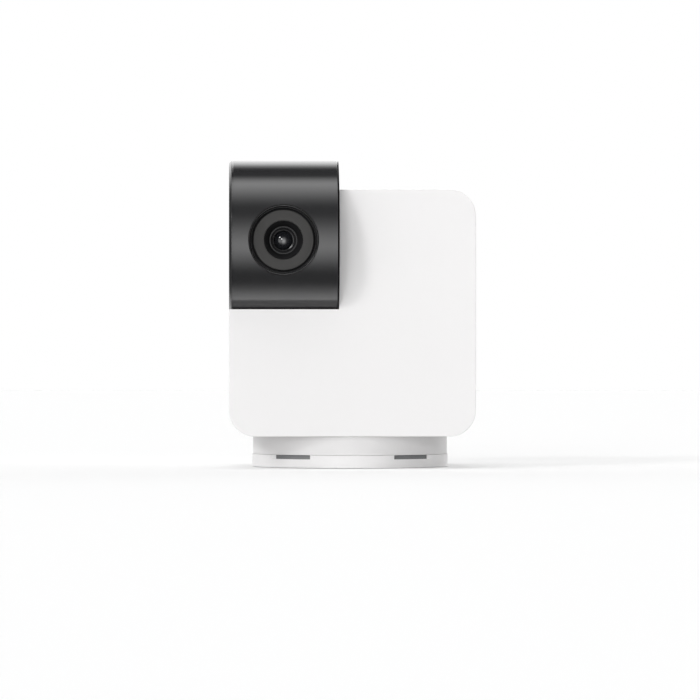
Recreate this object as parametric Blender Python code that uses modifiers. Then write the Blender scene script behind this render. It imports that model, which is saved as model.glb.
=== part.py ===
"""Pan and tilt pet camera on a round foot, in metres, with +Z up and its front towards -Y.

The origin is the middle of the foot's underside, on the pan axis. A rounded white body pans on the
foot. A glossy roller with the lens lies in a trough in the body's upper left corner and tilts about
its own axis.
"""

import math

import bmesh
import bpy
from mathutils import Matrix, Vector

MM = 0.001

# Clearances
SEAT = 0.3 * MM  # between a piece and what it rests on
RUN = 0.2 * MM  # round a shaft in its bore
SEAM = 0.2 * MM  # between two covers that meet at a seam
OVERRUN = 3.0 * MM  # how far a cutter passes the faces that it cuts
MERGE = 0.001 * MM  # points closer than this are one

# Facets
ROUND_STEPS = 16
LENS_STEPS = 24
LARGE_STEPS = 36
SMALL_STEPS = 8
CORNER_STEPS = 5
RIM_STEPS = 3
EDGE_STEPS = 2
FLANK_STEPS = 1
ROUND_SHARE = 0.5
SHARP_ANGLE = math.radians(35)

# Body
BODY_WIDTH = 79.0 * MM
BODY_HEIGHT = 79.0 * MM
BODY_DEPTH = 66.0 * MM
BODY_CORNER = 8.4 * MM
BODY_FRONT_EDGE = 1.0 * MM
BODY_REAR_EDGE = 6.0 * MM
BODY_WALL = 2.0 * MM
REAR_SHELL_DEPTH = 17.0 * MM
LIP_LENGTH = 1.5 * MM
LIP_ROOT = 2.0 * MM
LIP_WALL = 1.0 * MM

# Foot
BASE_HEIGHT = 10.0 * MM
BASE_RADIUS = 31.7 * MM
BASE_STEP = 0.25 * MM
BASE_SEAM_HEIGHT = 4.2 * MM
BASE_WALL = 2.2 * MM
BASE_FLOOR = 1.2 * MM
BASE_ROOF = 1.6 * MM
BASE_EDGE = 0.5 * MM
PAN_GAP = 0.3 * MM
FOOT_MARGIN = 4.7 * MM  # between the foot pad and the foot's edge
FOOT_THICKNESS = 1.0 * MM
FOOT_PROUD = 0.5 * MM
SLOT_HEIGHT = 1.3 * MM
SLOT_INNER_ANGLE = math.radians(25)
SLOT_OUTER_ANGLE = math.radians(52)
GLIDE_RADIUS = 20.0 * MM
GLIDE_WIDTH = 3.0 * MM
GLIDE_GROOVE = 0.8 * MM

# Roller
HEAD_RADIUS = 26.0 * MM
HEAD_LENGTH = 34.7 * MM
TILT_AXIS_DEPTH = 14.8 * MM  # behind the body's front
TILT_AXIS_DROP = 16.3 * MM  # below the body's top
HEAD_WALL = 1.8 * MM
HEAD_END_WALL = 2.0 * MM
HEAD_EDGE = 0.4 * MM
TROUGH_GAP = 0.5 * MM
TROUGH_WALL = 1.8 * MM
CAP_THICKNESS = 1.2 * MM
CAP_EDGE = 0.9 * MM
CAP_SPIGOT = 3.0 * MM
CAP_SPIGOT_WALL = 1.7 * MM

# Lens
LENS_HOLE_RADIUS = 11.25 * MM
WINDOW_RADIUS = 9.6 * MM
WINDOW_THICKNESS = 1.2 * MM
WINDOW_SINK = 3.6 * MM  # the window's face below the front of the roller
BEZEL_SINK = 2.7 * MM  # the bezel's rim below the front of the roller
BEZEL_RIM = 0.25 * MM
BEZEL_SHELF = 0.6 * MM
BEZEL_SHELF_THICKNESS = 2.1 * MM
BEZEL_FLANGE_RADIUS = 12.6 * MM
BEZEL_FLANGE = 1.2 * MM
RECESS_RADIUS = 6.2 * MM
RECESS_RIM = 0.3 * MM
RECESS_DEPTH = 2.5 * MM
RECESS_CONE = 1.1 * MM  # how much the recess narrows towards the glass
LENS_RING_RADIUS = 4.45 * MM
LENS_RING_STEP = 0.35 * MM
LENS_BORE_RADIUS = 3.3 * MM
LENS_BORE_LENGTH = 3.0 * MM
LENS_DOME = 1.0 * MM
LENS_SINK = 0.1 * MM  # the dome's top below the inner ring
LENS_EDGE = 1.0 * MM
BARREL_LENGTH = 13.1 * MM
BARREL_REAR_WALL = 1.4 * MM
REAR_LENS_SETBACK = 4.0 * MM
REAR_LENS_THICKNESS = 2.0 * MM
HOLDER_WIDTH = 15.0 * MM
HOLDER_ENGAGEMENT = 5.0 * MM
HOLDER_BACK = 3.8 * MM
SENSOR_APERTURE_RADIUS = 4.0 * MM
SENSOR_BOARD_WIDTH = 24.0 * MM
SENSOR_BOARD_HEIGHT = 22.0 * MM
SENSOR_POST_X = 11.0 * MM
SENSOR_POST_Z = 9.5 * MM
SENSOR_POST_RADIUS = 0.9 * MM
INFRARED_BOARD_RADIUS = 12.0 * MM
INFRARED_LED_PLACE = 7.5 * MM
INFRARED_LED_RADIUS = 1.2 * MM
INFRARED_LED_HEIGHT = 1.8 * MM

# Hubs, bushes, gears and clips, alike on both axes
HUB_RADIUS = 6.5 * MM
HUB_BORE_RADIUS = 4.2 * MM
HUB_FLANGE = 1.5 * MM
PAN_FLANGE_RADIUS = 11.0 * MM
TILT_FLANGE_RADIUS = 12.0 * MM
BUSH_WALL = 1.4 * MM
BUSH_LIP = 1.8 * MM
BUSH_FLANGE = 0.8 * MM
GEAR_MODULE = 0.6 * MM
GEAR_ADDENDUM = 0.48 * MM
GEAR_DEDENDUM = 0.63 * MM
GEAR_BACKLASH = 0.12 * MM
GEAR_WIDTH = 3.5 * MM
GEAR_PRESSURE_ANGLE = math.radians(25)
PAN_GEAR_TEETH = 48
TILT_GEAR_TEETH = 36
PINION_TEETH = 12
CLIP_THICKNESS = 1.0 * MM
CLIP_DEPTH = 0.8 * MM
CLIP_WIDTH = 2.4 * MM
CLIP_OPENING_ANGLE = math.radians(40)
HUB_END = 1.2 * MM
PAN_MOTOR_ANGLE = math.radians(90)  # from +X, seen from above
TILT_MOTOR_ANGLE = math.radians(60)  # from straight down, towards the back

# Motors
MOTOR_RADIUS = 10.0 * MM
MOTOR_LENGTH = 11.5 * MM
MOTOR_EDGE = 0.6 * MM
MOTOR_BOSS_RADIUS = 4.0 * MM
MOTOR_EAR_REACH = 13.0 * MM
MOTOR_EAR_WIDTH = 5.5 * MM
MOTOR_EAR_THICKNESS = 0.9 * MM
SHAFT_RADIUS = 1.0 * MM
SHAFT_GRIP = 1.2 * MM  # how far the shaft stands in the motor's boss

# Chassis and boards
CHASSIS_THICKNESS = 1.8 * MM
CHASSIS_CLEARANCE = 0.8 * MM  # between the gears and the chassis
CHASSIS_SIDE_GAP = 11.5 * MM  # between the chassis and the shell's side walls
CHASSIS_MARGIN = 2.0 * MM  # between the chassis and the shells
CHASSIS_CORNER = 3.0 * MM
UPRIGHT_BACK = 6.0 * MM
CHASSIS_POST_INSET = 4.0 * MM
CHASSIS_POST_FRONT_INSET = 9.0 * MM  # behind the body's front
CHASSIS_POST_SEAM_INSET = 7.0 * MM  # in front of the shells' seam
POST_RADIUS = 2.6 * MM
BOARD_THICKNESS = 1.2 * MM
BOARD_SIDE_GAP = 9.5 * MM
BOARD_TOP_GAP = 3.3 * MM
BOARD_BACK_GAP = 5.3 * MM
BOARD_MOTOR_GAP = 4.4 * MM  # between the pan motor and the board's lower edge
BOARD_POST_INSET = 4.0 * MM
SHIELD_WIDTH = 24.0 * MM
SHIELD_THICKNESS = 2.8 * MM
SHIELD_CORNER = 1.2 * MM
SHIELD_EDGE = 0.5 * MM
ANTENNA_LENGTH = 24.0 * MM
ANTENNA_WIDTH = 7.0 * MM
ANTENNA_THICKNESS = 0.8 * MM
ANTENNA_CORNER_GAP = 1.1 * MM  # between the antenna and the start of the body's corner
ANTENNA_LIP_GAP = 0.5 * MM
MICROPHONE_RADIUS = 3.0 * MM
MICROPHONE_LENGTH = 3.4 * MM
MICROPHONE_ANTENNA_GAP = 12.0 * MM  # between its middle and the antenna
MICROPHONE_HOLE_RADIUS = 0.5 * MM
MICROPHONE_RIB = 1.0 * MM
MICROPHONE_RIB_HEIGHT = 2.6 * MM
VENT_COUNT = 7
VENT_WIDTH = 24.0 * MM
VENT_HEIGHT = 1.4 * MM
VENT_PITCH = 3.2 * MM

# Screws
SCREW_RADIUS = 0.9 * MM
SCREW_PILOT = 0.2 * MM  # the pilot hole's clearance round the shank
SCREW_HEAD_RADIUS = 1.8 * MM
SCREW_HEAD = 1.0 * MM
SCREW_CHAMFER = 0.3 * MM
SCREW_POCKET = 0.5 * MM  # round a head that lies in a pocket
SCREW_LENGTH = 4.0 * MM
SHELL_SCREW_LENGTH = 14.0 * MM
SHELL_SCREW_GRIP = 5.5 * MM  # from the end of its tube to where its head bears
SHELL_POST_INSET = 7.0 * MM
SHELL_POST_RADIUS = 3.2 * MM
BASE_SCREW_INSET = 5.0 * MM  # from the foot's inner wall
BASE_SCREW_ANGLE = math.radians(30)
BASE_SCREW_LENGTH = 4.8 * MM
BASE_POST_RADIUS = 3.0 * MM

# Inside the foot
BALLAST_POST_GAP = 0.5 * MM
BALLAST_THICKNESS = 0.8 * MM
BALLAST_HOLE_RADIUS = 5.0 * MM
POWER_BOARD_HUB_GAP = 2.0 * MM  # between the board and the pan hub's flange
POWER_BOARD_WALL_GAP = 3.1 * MM  # between the board and the foot's inner wall
POWER_BOARD_HALF_WIDTH = 11.0 * MM
POWER_POST_HEIGHT = 0.8 * MM
POWER_POST_RADIUS = 1.5 * MM
POWER_POST_X = 8.0 * MM
POWER_BOARD_THICKNESS = 1.0 * MM
SOCKET_WIDTH = 8.94 * MM
SOCKET_HEIGHT = 3.16 * MM
SOCKET_LENGTH = 6.6 * MM
SOCKET_SINK = 0.7 * MM
SOCKET_WALL = 0.35 * MM
SOCKET_DEPTH = 5.8 * MM
SOCKET_TONGUE = 0.7 * MM
SOCKET_TONGUE_WIDTH = 6.7 * MM
SOCKET_TONGUE_SINK = 0.9 * MM
SPEAKER_WIDTH = 24.0 * MM
SPEAKER_HEIGHT = 4.0 * MM
SPEAKER_CORNER = 2.5 * MM
SPEAKER_HUB_GAP = 1.5 * MM  # between the loudspeaker and the pan hub's flange
SPEAKER_WALL_GAP = 3.0 * MM  # between the loudspeaker and the foot's inner wall
SPEAKER_RIM = 1.4 * MM
SPEAKER_CONE_SINK = 1.2 * MM
SPEAKER_CONE_THICKNESS = 0.6 * MM
BUTTON_X = 8.5 * MM
BUTTON_RADIUS = 1.3 * MM
BUTTON_PROUD = 0.3 * MM
BUTTON_TRAVEL = 0.4 * MM
BUTTON_FLANGE_RADIUS = 1.7 * MM
BUTTON_FLANGE = 0.6 * MM
BUTTON_SETBACK = 0.9 * MM  # the button's flange behind the foot's inner wall
SWITCH_SIZE = 3.2 * MM
SWITCH_PLUNGER_RADIUS = 0.9 * MM
SWITCH_PLUNGER = 0.3 * MM

# Places worked out from the sizes
BODY_LEFT = -BODY_WIDTH / 2
BODY_RIGHT = BODY_WIDTH / 2
BODY_FRONT = -BODY_DEPTH / 2
BODY_BACK = BODY_DEPTH / 2
BODY_BOTTOM = BASE_HEIGHT + PAN_GAP
BODY_TOP = BODY_BOTTOM + BODY_HEIGHT
BODY_FLOOR = BODY_BOTTOM + BODY_WALL
BODY_CEILING = BODY_TOP - BODY_WALL
SHELL_SEAM_Y = BODY_BACK - REAR_SHELL_DEPTH
SHELL_POST_END = SHELL_SEAM_Y - LIP_LENGTH
TILT_Y = BODY_FRONT + TILT_AXIS_DEPTH
TILT_Z = BODY_TOP - TILT_AXIS_DROP
HEAD_RIGHT = BODY_LEFT + HEAD_LENGTH
NOTCH_X = HEAD_RIGHT + TROUGH_GAP
TROUGH_RADIUS = HEAD_RADIUS + TROUGH_GAP
LENS_X = BODY_LEFT + HEAD_LENGTH / 2
BUSH_RADIUS = HUB_RADIUS + RUN + BUSH_WALL
BUSH_HOLE_RADIUS = BUSH_RADIUS + RUN
GEAR_BORE = HUB_RADIUS + RUN
PINION_BORE = SHAFT_RADIUS + RUN
PAN_PINION_DISTANCE = GEAR_MODULE * (PAN_GEAR_TEETH + PINION_TEETH) / 2
TILT_PINION_DISTANCE = GEAR_MODULE * (TILT_GEAR_TEETH + PINION_TEETH) / 2

# Heights above the inner side of the wall that a hub passes through
BUSH_TOP = SEAT + BUSH_FLANGE
GEAR_LOW = BUSH_TOP + SEAT
GEAR_HIGH = GEAR_LOW + GEAR_WIDTH
CLIP_LOW = GEAR_HIGH + SEAT
CLIP_HIGH = CLIP_LOW + CLIP_THICKNESS
HUB_TOP = CLIP_HIGH + HUB_END
CHASSIS_LOW = GEAR_HIGH + CHASSIS_CLEARANCE
CHASSIS_HIGH = CHASSIS_LOW + CHASSIS_THICKNESS
CLIP_RADIUS = HUB_RADIUS + CLIP_WIDTH
HUB_CLEARANCE_RADIUS = CLIP_RADIUS + CHASSIS_CLEARANCE

# In the foot
BASE_INNER_RADIUS = BASE_RADIUS - BASE_WALL
FOOT_RADIUS = BASE_RADIUS - FOOT_MARGIN
BASE_SCREW_PLACE = BASE_INNER_RADIUS - BASE_SCREW_INSET
BALLAST_RADIUS = BASE_SCREW_PLACE - BASE_POST_RADIUS - BALLAST_POST_GAP
POWER_BOARD_FRONT = PAN_FLANGE_RADIUS + POWER_BOARD_HUB_GAP
POWER_BOARD_BACK = BASE_INNER_RADIUS - POWER_BOARD_WALL_GAP
POWER_POST_Y = (POWER_BOARD_FRONT + POWER_BOARD_BACK) / 2
SPEAKER_BACK = -PAN_FLANGE_RADIUS - SPEAKER_HUB_GAP
SPEAKER_FRONT = SPEAKER_WALL_GAP - BASE_INNER_RADIUS
COVER_RECESS = FOOT_THICKNESS + SEAT
COVER_FLOOR = COVER_RECESS + BASE_FLOOR
BASE_ROOF_HEIGHT = BASE_HEIGHT - BASE_ROOF
BASE_SHELL_BOTTOM = BASE_SEAM_HEIGHT + SEAM
BASE_SHELL_RADIUS = BASE_RADIUS - BASE_STEP
BALLAST_TOP = COVER_FLOOR + SEAT + BALLAST_THICKNESS
POWER_BOARD_BOTTOM = COVER_FLOOR + POWER_POST_HEIGHT + SEAT
POWER_BOARD_TOP = POWER_BOARD_BOTTOM + POWER_BOARD_THICKNESS
SOCKET_BOTTOM = POWER_BOARD_TOP + SEAT
BUTTON_Z = SOCKET_BOTTOM + SWITCH_SIZE / 2
BUTTON_WALL_Y = math.sqrt((BASE_SHELL_RADIUS - BASE_WALL) ** 2 - BUTTON_X**2)
BUTTON_OUTSIDE_Y = math.sqrt(BASE_SHELL_RADIUS**2 - BUTTON_X**2)
BUTTON_FLANGE_Y = BUTTON_WALL_Y - BUTTON_SETBACK
BUTTON_INNER_Y = BUTTON_FLANGE_Y - BUTTON_FLANGE

# Depths along the lens axis, from the tilt axis towards the front
WINDOW_FRONT = HEAD_RADIUS - WINDOW_SINK
WINDOW_BACK = WINDOW_FRONT - WINDOW_THICKNESS
BEZEL_FRONT = HEAD_RADIUS - BEZEL_SINK
SHELF_FRONT = WINDOW_BACK - SEAT
BEZEL_BACK = SHELF_FRONT - BEZEL_SHELF_THICKNESS
BARREL_FRONT = WINDOW_FRONT - SEAT
BARREL_BACK = BARREL_FRONT - BARREL_LENGTH
BARREL_RADIUS = RECESS_RADIUS - RUN
RECESS_FLOOR = BARREL_FRONT - RECESS_DEPTH
BORE_FRONT = RECESS_FLOOR - LENS_RING_STEP * 2
BORE_BACK = BORE_FRONT - LENS_BORE_LENGTH
HOLDER_FRONT = BARREL_BACK + HOLDER_ENGAGEMENT
HOLDER_SEAT = BARREL_BACK - SEAT
HOLDER_REAR = HOLDER_SEAT - HOLDER_BACK
SENSOR_BOARD_FRONT = HOLDER_REAR - SEAT
SENSOR_BOARD_REAR = SENSOR_BOARD_FRONT - BOARD_THICKNESS
INFRARED_BOARD_FRONT = BEZEL_BACK - SEAT
INFRARED_BOARD_REAR = INFRARED_BOARD_FRONT - BOARD_THICKNESS

# The chassis and the main board
CHASSIS_HALF_WIDTH = BODY_WIDTH / 2 - BODY_WALL - CHASSIS_SIDE_GAP
CHASSIS_FRONT = BODY_FRONT + BODY_WALL + CHASSIS_MARGIN
CHASSIS_BACK = BODY_BACK - BODY_WALL - CHASSIS_MARGIN
UPRIGHT_X = NOTCH_X + BODY_WALL + CHASSIS_LOW
PAN_MOTOR_TOP = BODY_FLOOR + CHASSIS_HIGH + SEAT + MOTOR_LENGTH
BOARD_HALF_WIDTH = BODY_WIDTH / 2 - BODY_WALL - BOARD_SIDE_GAP
BOARD_BACK = BODY_BACK - BODY_WALL - BOARD_BACK_GAP
BOARD_FRONT = BOARD_BACK - BOARD_THICKNESS
BOARD_TOP = BODY_CEILING - BOARD_TOP_GAP
BOARD_BOTTOM = PAN_MOTOR_TOP + BOARD_MOTOR_GAP
ANTENNA_RIGHT = BODY_RIGHT - BODY_CORNER - ANTENNA_CORNER_GAP
ANTENNA_BACK = SHELL_POST_END - ANTENNA_LIP_GAP
ANTENNA_FRONT = ANTENNA_BACK - ANTENNA_WIDTH
MICROPHONE_X = (UPRIGHT_X + CHASSIS_THICKNESS + BODY_RIGHT - BODY_WALL) / 2
MICROPHONE_PLACE = Vector((MICROPHONE_X, ANTENNA_FRONT - MICROPHONE_ANTENNA_GAP, BODY_CEILING))

# How a piece's own +Z is turned into the direction that it points
QUARTER = math.pi / 2
TURNS = {
    "Z": (0, 0, 0),
    "-Z": (math.pi, 0, 0),
    "X": (0, QUARTER, 0),
    "-X": (0, -QUARTER, 0),
    "Y": (-QUARTER, 0, 0),
    "-Y": (QUARTER, 0, 0),
}
AXES = "XYZ"


# Scene, materials and objects
def empty_scene():
    for item in list(bpy.data.objects):
        bpy.data.objects.remove(item, do_unlink=True)


def collection(name):
    group = bpy.data.collections.new(name)
    bpy.context.scene.collection.children.link(group)
    return group


empty_scene()
PARTS = collection("pet_camera")
TOOLS = collection("cutters")


def look(name, colour, roughness, metallic=0.0):
    material = bpy.data.materials.new(name)
    material.use_nodes = True
    shader = material.node_tree.nodes["Principled BSDF"]
    shader.inputs["Base Color"].default_value = (*colour, 1)
    shader.inputs["Roughness"].default_value = roughness
    shader.inputs["Metallic"].default_value = metallic
    material.diffuse_color = (*colour, 1)
    return material


WHITE_SHELL = look("white_shell", (0.87, 0.87, 0.86), 0.5)
GLOSS_BLACK = look("gloss_black", (0.02, 0.02, 0.021), 0.08)
SATIN_BLACK = look("satin_black", (0.012, 0.012, 0.012), 0.35)
SMOKED_WINDOW = look("smoked_window", (0.06, 0.058, 0.056), 0.45)
LENS_GLASS = look("lens_glass", (0.03, 0.04, 0.06), 0.02)
BLACK_PLASTIC = look("black_plastic", (0.02, 0.02, 0.02), 0.55)
WHITE_ACETAL = look("white_acetal", (0.8, 0.79, 0.74), 0.4)
GREY_PLASTIC = look("grey_plastic", (0.3, 0.31, 0.32), 0.55)
STEEL = look("steel", (0.6, 0.6, 0.61), 0.3, 1.0)
BRASS = look("brass", (0.72, 0.5, 0.2), 0.3, 1.0)
CIRCUIT_BOARD = look("circuit_board", (0.02, 0.13, 0.06), 0.45)
RUBBER = look("rubber", (0.05, 0.05, 0.05), 0.8)
LED_RESIN = look("led_resin", (0.1, 0.05, 0.06), 0.15)


def add(name, mesh, material, place, direction):
    """An object in the model, or a cutter where it has no material."""
    piece = bpy.data.objects.new(name, mesh)
    piece.location = place
    piece.rotation_euler = TURNS[direction]
    if material:
        mesh.materials.append(material)
        PARTS.objects.link(piece)
    else:
        piece.hide_render = True
        piece.display_type = "WIRE"
        TOOLS.objects.link(piece)
    return piece


def made(name, shape):
    mesh = bpy.data.meshes.new(name)
    shape.to_mesh(mesh)
    shape.free()
    return mesh


# Shapes
def rod(name, radius, low, high, place, direction="Z", material=None, steps=ROUND_STEPS):
    """A round bar from low to high along its own axis."""
    shape = bmesh.new()
    bmesh.ops.create_cone(
        shape,
        cap_ends=True,
        segments=steps,
        radius1=radius,
        radius2=radius,
        depth=high - low,
        matrix=Matrix.Translation((0, 0, (low + high) / 2)),
    )
    return add(name, made(name, shape), material, place, direction)


def turned(name, profile, place, direction="Z", material=None, steps=ROUND_STEPS):
    """A profile of (radius, height) points, down its outer side first, turned about its own axis."""
    shape = bmesh.new()
    points = [shape.verts.new((radius, 0, height)) for radius, height in profile]
    for first, second in zip(points, points[1:]):
        shape.edges.new((first, second))
    if profile[0][0] > 0:
        shape.edges.new((points[-1], points[0]))
    piece = add(name, made(name, shape), material, place, direction)
    screw = piece.modifiers.new("turn", "SCREW")
    screw.steps = steps
    screw.render_steps = steps
    screw.use_merge_vertices = True
    screw.merge_threshold = MERGE
    return piece


def block(name, low, high, material=None, corner_axis=None, corner=0, rims=()):
    """A box between two corners. Its edges along one axis get the corner radius. Each rim is an axis,
    the side that it lies on and its radius."""
    low = Vector(low)
    high = Vector(high)
    shape = bmesh.new()
    bmesh.ops.create_cube(shape, size=1)
    bmesh.ops.scale(shape, vec=high - low, verts=shape.verts)
    if corner_axis:
        axis = AXES.index(corner_axis)
        ends = [(edge, [point.co[axis] for point in edge.verts]) for edge in shape.edges]
        edges = [edge for edge, (first, second) in ends if abs(first - second) > MERGE]
        round_edges(shape, edges, corner, CORNER_STEPS)
    for rim_axis, side, radius in rims:
        axis = AXES.index(rim_axis)
        level = side * (high - low)[axis] / 2
        edges = [
            edge for edge in shape.edges if all(abs(point.co[axis] - level) < MERGE for point in edge.verts)
        ]
        round_edges(shape, edges, radius, RIM_STEPS)
    return add(name, made(name, shape), material, (low + high) / 2, "Z")


def round_edges(shape, edges, radius, steps):
    bmesh.ops.bevel(
        shape,
        geom=edges,
        offset=radius,
        offset_type="OFFSET",
        segments=steps,
        profile=ROUND_SHARE,
        affect="EDGES",
    )


def flat(name, outlines, low, high, place, direction="Z", material=None):
    """Flat outlines, the first filled and the others holes in it, from low to high along the axis."""
    curve = bpy.data.curves.new(name, "CURVE")
    curve.dimensions = "2D"
    curve.fill_mode = "BOTH"
    curve.extrude = (high - low) / 2
    for outline in outlines:
        spline = curve.splines.new("POLY")
        spline.points.add(len(outline) - 1)
        for point, (x, y) in zip(spline.points, outline):
            point.co = (x, y, 0, 1)
        spline.use_cyclic_u = True
    drawing = bpy.data.objects.new(name, curve)
    TOOLS.objects.link(drawing)
    graph = bpy.context.evaluated_depsgraph_get()
    mesh = bpy.data.meshes.new_from_object(drawing.evaluated_get(graph))
    bpy.data.objects.remove(drawing)
    shape = bmesh.new()
    shape.from_mesh(mesh)
    bmesh.ops.remove_doubles(shape, verts=shape.verts, dist=MERGE)
    bmesh.ops.translate(shape, vec=(0, 0, (low + high) / 2), verts=shape.verts)
    bmesh.ops.recalc_face_normals(shape, faces=shape.faces)
    return add(name, made(name, shape), material, place, direction)


def arc(radius, start, end, steps, centre=(0, 0)):
    """Points on an arc, both ends included."""
    angles = [start + (end - start) * step / steps for step in range(steps + 1)]
    across, up = centre
    return [(across + radius * math.cos(angle), up + radius * math.sin(angle)) for angle in angles]


def circle(radius, steps=ROUND_STEPS):
    return arc(radius, 0, 2 * math.pi, steps)[:-1]


def polar(distance, angle, height=0):
    return Vector((distance * math.cos(angle), distance * math.sin(angle), height))


def boolean(piece, tool, operation):
    step = piece.modifiers.new(tool.name, "BOOLEAN")
    step.operation = operation
    step.solver = "EXACT"
    step.object = tool


def cut(piece, *tools):
    for tool in tools:
        boolean(piece, tool, "DIFFERENCE")


def join(piece, *tools):
    for tool in tools:
        boolean(piece, tool, "UNION")


# Joint axes and what rides on them
def axis_point(name, place, parent=None):
    """An empty on a joint's axis, which the pieces that move with it are parented to."""
    point = bpy.data.objects.new(name, None)
    point.location = place
    point.empty_display_size = HUB_RADIUS
    PARTS.objects.link(point)
    if parent:
        carry(parent, point)
    return point


def carry(point, *pieces):
    for piece in pieces:
        piece.parent = point
        piece.matrix_parent_inverse = Matrix.Translation(-point.location)


def settle(piece):
    """Bakes a piece's modifiers, and shades it smooth except over its sharp edges."""
    graph = bpy.context.evaluated_depsgraph_get()
    mesh = bpy.data.meshes.new_from_object(piece.evaluated_get(graph))
    piece.modifiers.clear()
    piece.data = mesh
    mesh.shade_smooth()
    mesh.set_sharp_from_angle(angle=SHARP_ANGLE)


# Standard pieces
def screw(name, place, direction, length):
    """A pan head screw. Its place is where the head bears, and it points along its shank."""
    profile = [
        (0, length),
        (SCREW_RADIUS, length),
        (SCREW_RADIUS, 0),
        (SCREW_HEAD_RADIUS, 0),
        (SCREW_HEAD_RADIUS, -SCREW_HEAD + SCREW_CHAMFER),
        (SCREW_HEAD_RADIUS - SCREW_CHAMFER, -SCREW_HEAD),
        (0, -SCREW_HEAD),
    ]
    return turned(name, profile, place, direction, STEEL, SMALL_STEPS)


def pilot(name, place, direction, length):
    radius = SCREW_RADIUS + SCREW_PILOT
    return rod(name, radius, -OVERRUN, length + SEAT, place, direction, steps=SMALL_STEPS)


def bush(name, place, direction):
    """A flanged bush in a body wall. Its place is where its axis meets the wall's inner side."""
    sleeve = HUB_RADIUS + RUN
    profile = [
        (sleeve, BUSH_TOP),
        (BUSH_RADIUS + BUSH_LIP, BUSH_TOP),
        (BUSH_RADIUS + BUSH_LIP, SEAT),
        (BUSH_RADIUS, SEAT),
        (BUSH_RADIUS, -BODY_WALL + RUN),
        (sleeve, -BODY_WALL + RUN),
    ]
    return turned(name, profile, place, direction, WHITE_ACETAL)


def hub(name, place, direction, flange_radius, flange_high):
    """A hollow hub through a body wall: a flange outside, a journal, and a groove for its clip inside."""
    flange_low = flange_high - HUB_FLANGE
    groove_radius = HUB_RADIUS - CLIP_DEPTH
    profile = [
        (HUB_BORE_RADIUS, HUB_TOP),
        (HUB_RADIUS - SCREW_CHAMFER, HUB_TOP),
        (HUB_RADIUS, HUB_TOP - SCREW_CHAMFER),
        (HUB_RADIUS, CLIP_HIGH + RUN),
        (groove_radius, CLIP_HIGH + RUN),
        (groove_radius, CLIP_LOW - RUN),
        (HUB_RADIUS, CLIP_LOW - RUN),
        (HUB_RADIUS, flange_high),
        (flange_radius, flange_high),
        (flange_radius, flange_low),
        (HUB_BORE_RADIUS, flange_low),
    ]
    return turned(name, profile, place, direction, GREY_PLASTIC)


def clip(name, place, direction, phase):
    """An open ring in the hub's groove."""
    start = phase + CLIP_OPENING_ANGLE / 2
    end = phase + 2 * math.pi - CLIP_OPENING_ANGLE / 2
    outer = arc(CLIP_RADIUS, start, end, ROUND_STEPS)
    inner = arc(HUB_RADIUS - CLIP_DEPTH + RUN, end, start, ROUND_STEPS)
    return flat(name, [outer + inner], CLIP_LOW, CLIP_HIGH, place, direction, STEEL)


def involute(angle):
    return math.tan(angle) - angle


def gear_outline(teeth, phase):
    """Involute teeth, the first one centred on the phase angle."""
    pitch = GEAR_MODULE * teeth / 2
    base = pitch * math.cos(GEAR_PRESSURE_ANGLE)
    root = pitch - GEAR_DEDENDUM
    tip = pitch + GEAR_ADDENDUM
    start = max(root, base)
    radii = [start + (tip - start) * step / FLANK_STEPS for step in range(FLANK_STEPS + 1)]
    half_pitch = math.pi / (2 * teeth) - GEAR_BACKLASH / (2 * pitch)
    widest = half_pitch + involute(GEAR_PRESSURE_ANGLE)
    flank = [(radius, widest - involute(math.acos(base / radius))) for radius in radii]
    if root < base:
        flank.insert(0, (root, flank[0][1]))
    flanks = [(radius, -half) for radius, half in flank] + flank[::-1]
    middles = [phase + 2 * math.pi * tooth / teeth for tooth in range(teeth)]
    return [polar(radius, middle + turn).to_2d() for middle in middles for radius, turn in flanks]


def gear(name, teeth, phase, bore, place, direction, material):
    outlines = [gear_outline(teeth, phase), circle(bore)]
    return flat(name, outlines, GEAR_LOW, GEAR_HIGH, place, direction, material)


def motor(name, place, direction):
    """A small geared stepper. Its place is its pinion's: on its shaft, level with the wall's inner side."""
    face = CHASSIS_HIGH + SEAT
    profile = [
        (0, face + MOTOR_LENGTH),
        (MOTOR_RADIUS - MOTOR_EDGE, face + MOTOR_LENGTH),
        (MOTOR_RADIUS, face + MOTOR_LENGTH - MOTOR_EDGE),
        (MOTOR_RADIUS, face),
        (MOTOR_BOSS_RADIUS, face),
        (MOTOR_BOSS_RADIUS, CHASSIS_LOW),
        (SHAFT_RADIUS + RUN, CHASSIS_LOW),
        (SHAFT_RADIUS + RUN, CHASSIS_LOW + SHAFT_GRIP + SEAT),
        (0, CHASSIS_LOW + SHAFT_GRIP + SEAT),
    ]
    body = turned(name, profile, place, direction, STEEL)
    reach = MOTOR_EAR_REACH + MOTOR_EAR_WIDTH / 2
    half = MOTOR_EAR_WIDTH / 2
    ears = block(
        name + "_ears",
        (-reach, -half, face),
        (reach, half, face + MOTOR_EAR_THICKNESS),
        corner_axis="Z",
        corner=half - MERGE,
    )
    turn_about(ears, place, direction)
    core_radius = MOTOR_RADIUS - MOTOR_EDGE
    core = rod(name + "_ear_core", core_radius, face - OVERRUN, face + OVERRUN, place, direction)
    cut(ears, core)
    join(body, ears)
    for side in (-1, 1):
        hole = rod(
            f"{name}_ear_hole_{side}",
            SCREW_RADIUS + SCREW_PILOT,
            -OVERRUN,
            OVERRUN,
            turned_place(place, direction, (side * MOTOR_EAR_REACH, 0, face)),
            direction,
            steps=SMALL_STEPS,
        )
        cut(body, hole)
    return body


def turned_place(place, direction, offset):
    """Where a point of a piece's own space comes to lie."""
    return Vector(place) + turn_matrix(direction) @ Vector(offset)


def turn_matrix(direction):
    turn = Matrix.Identity(3)
    for axis, angle in zip(AXES, TURNS[direction]):
        turn = Matrix.Rotation(angle, 3, axis) @ turn
    return turn


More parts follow.
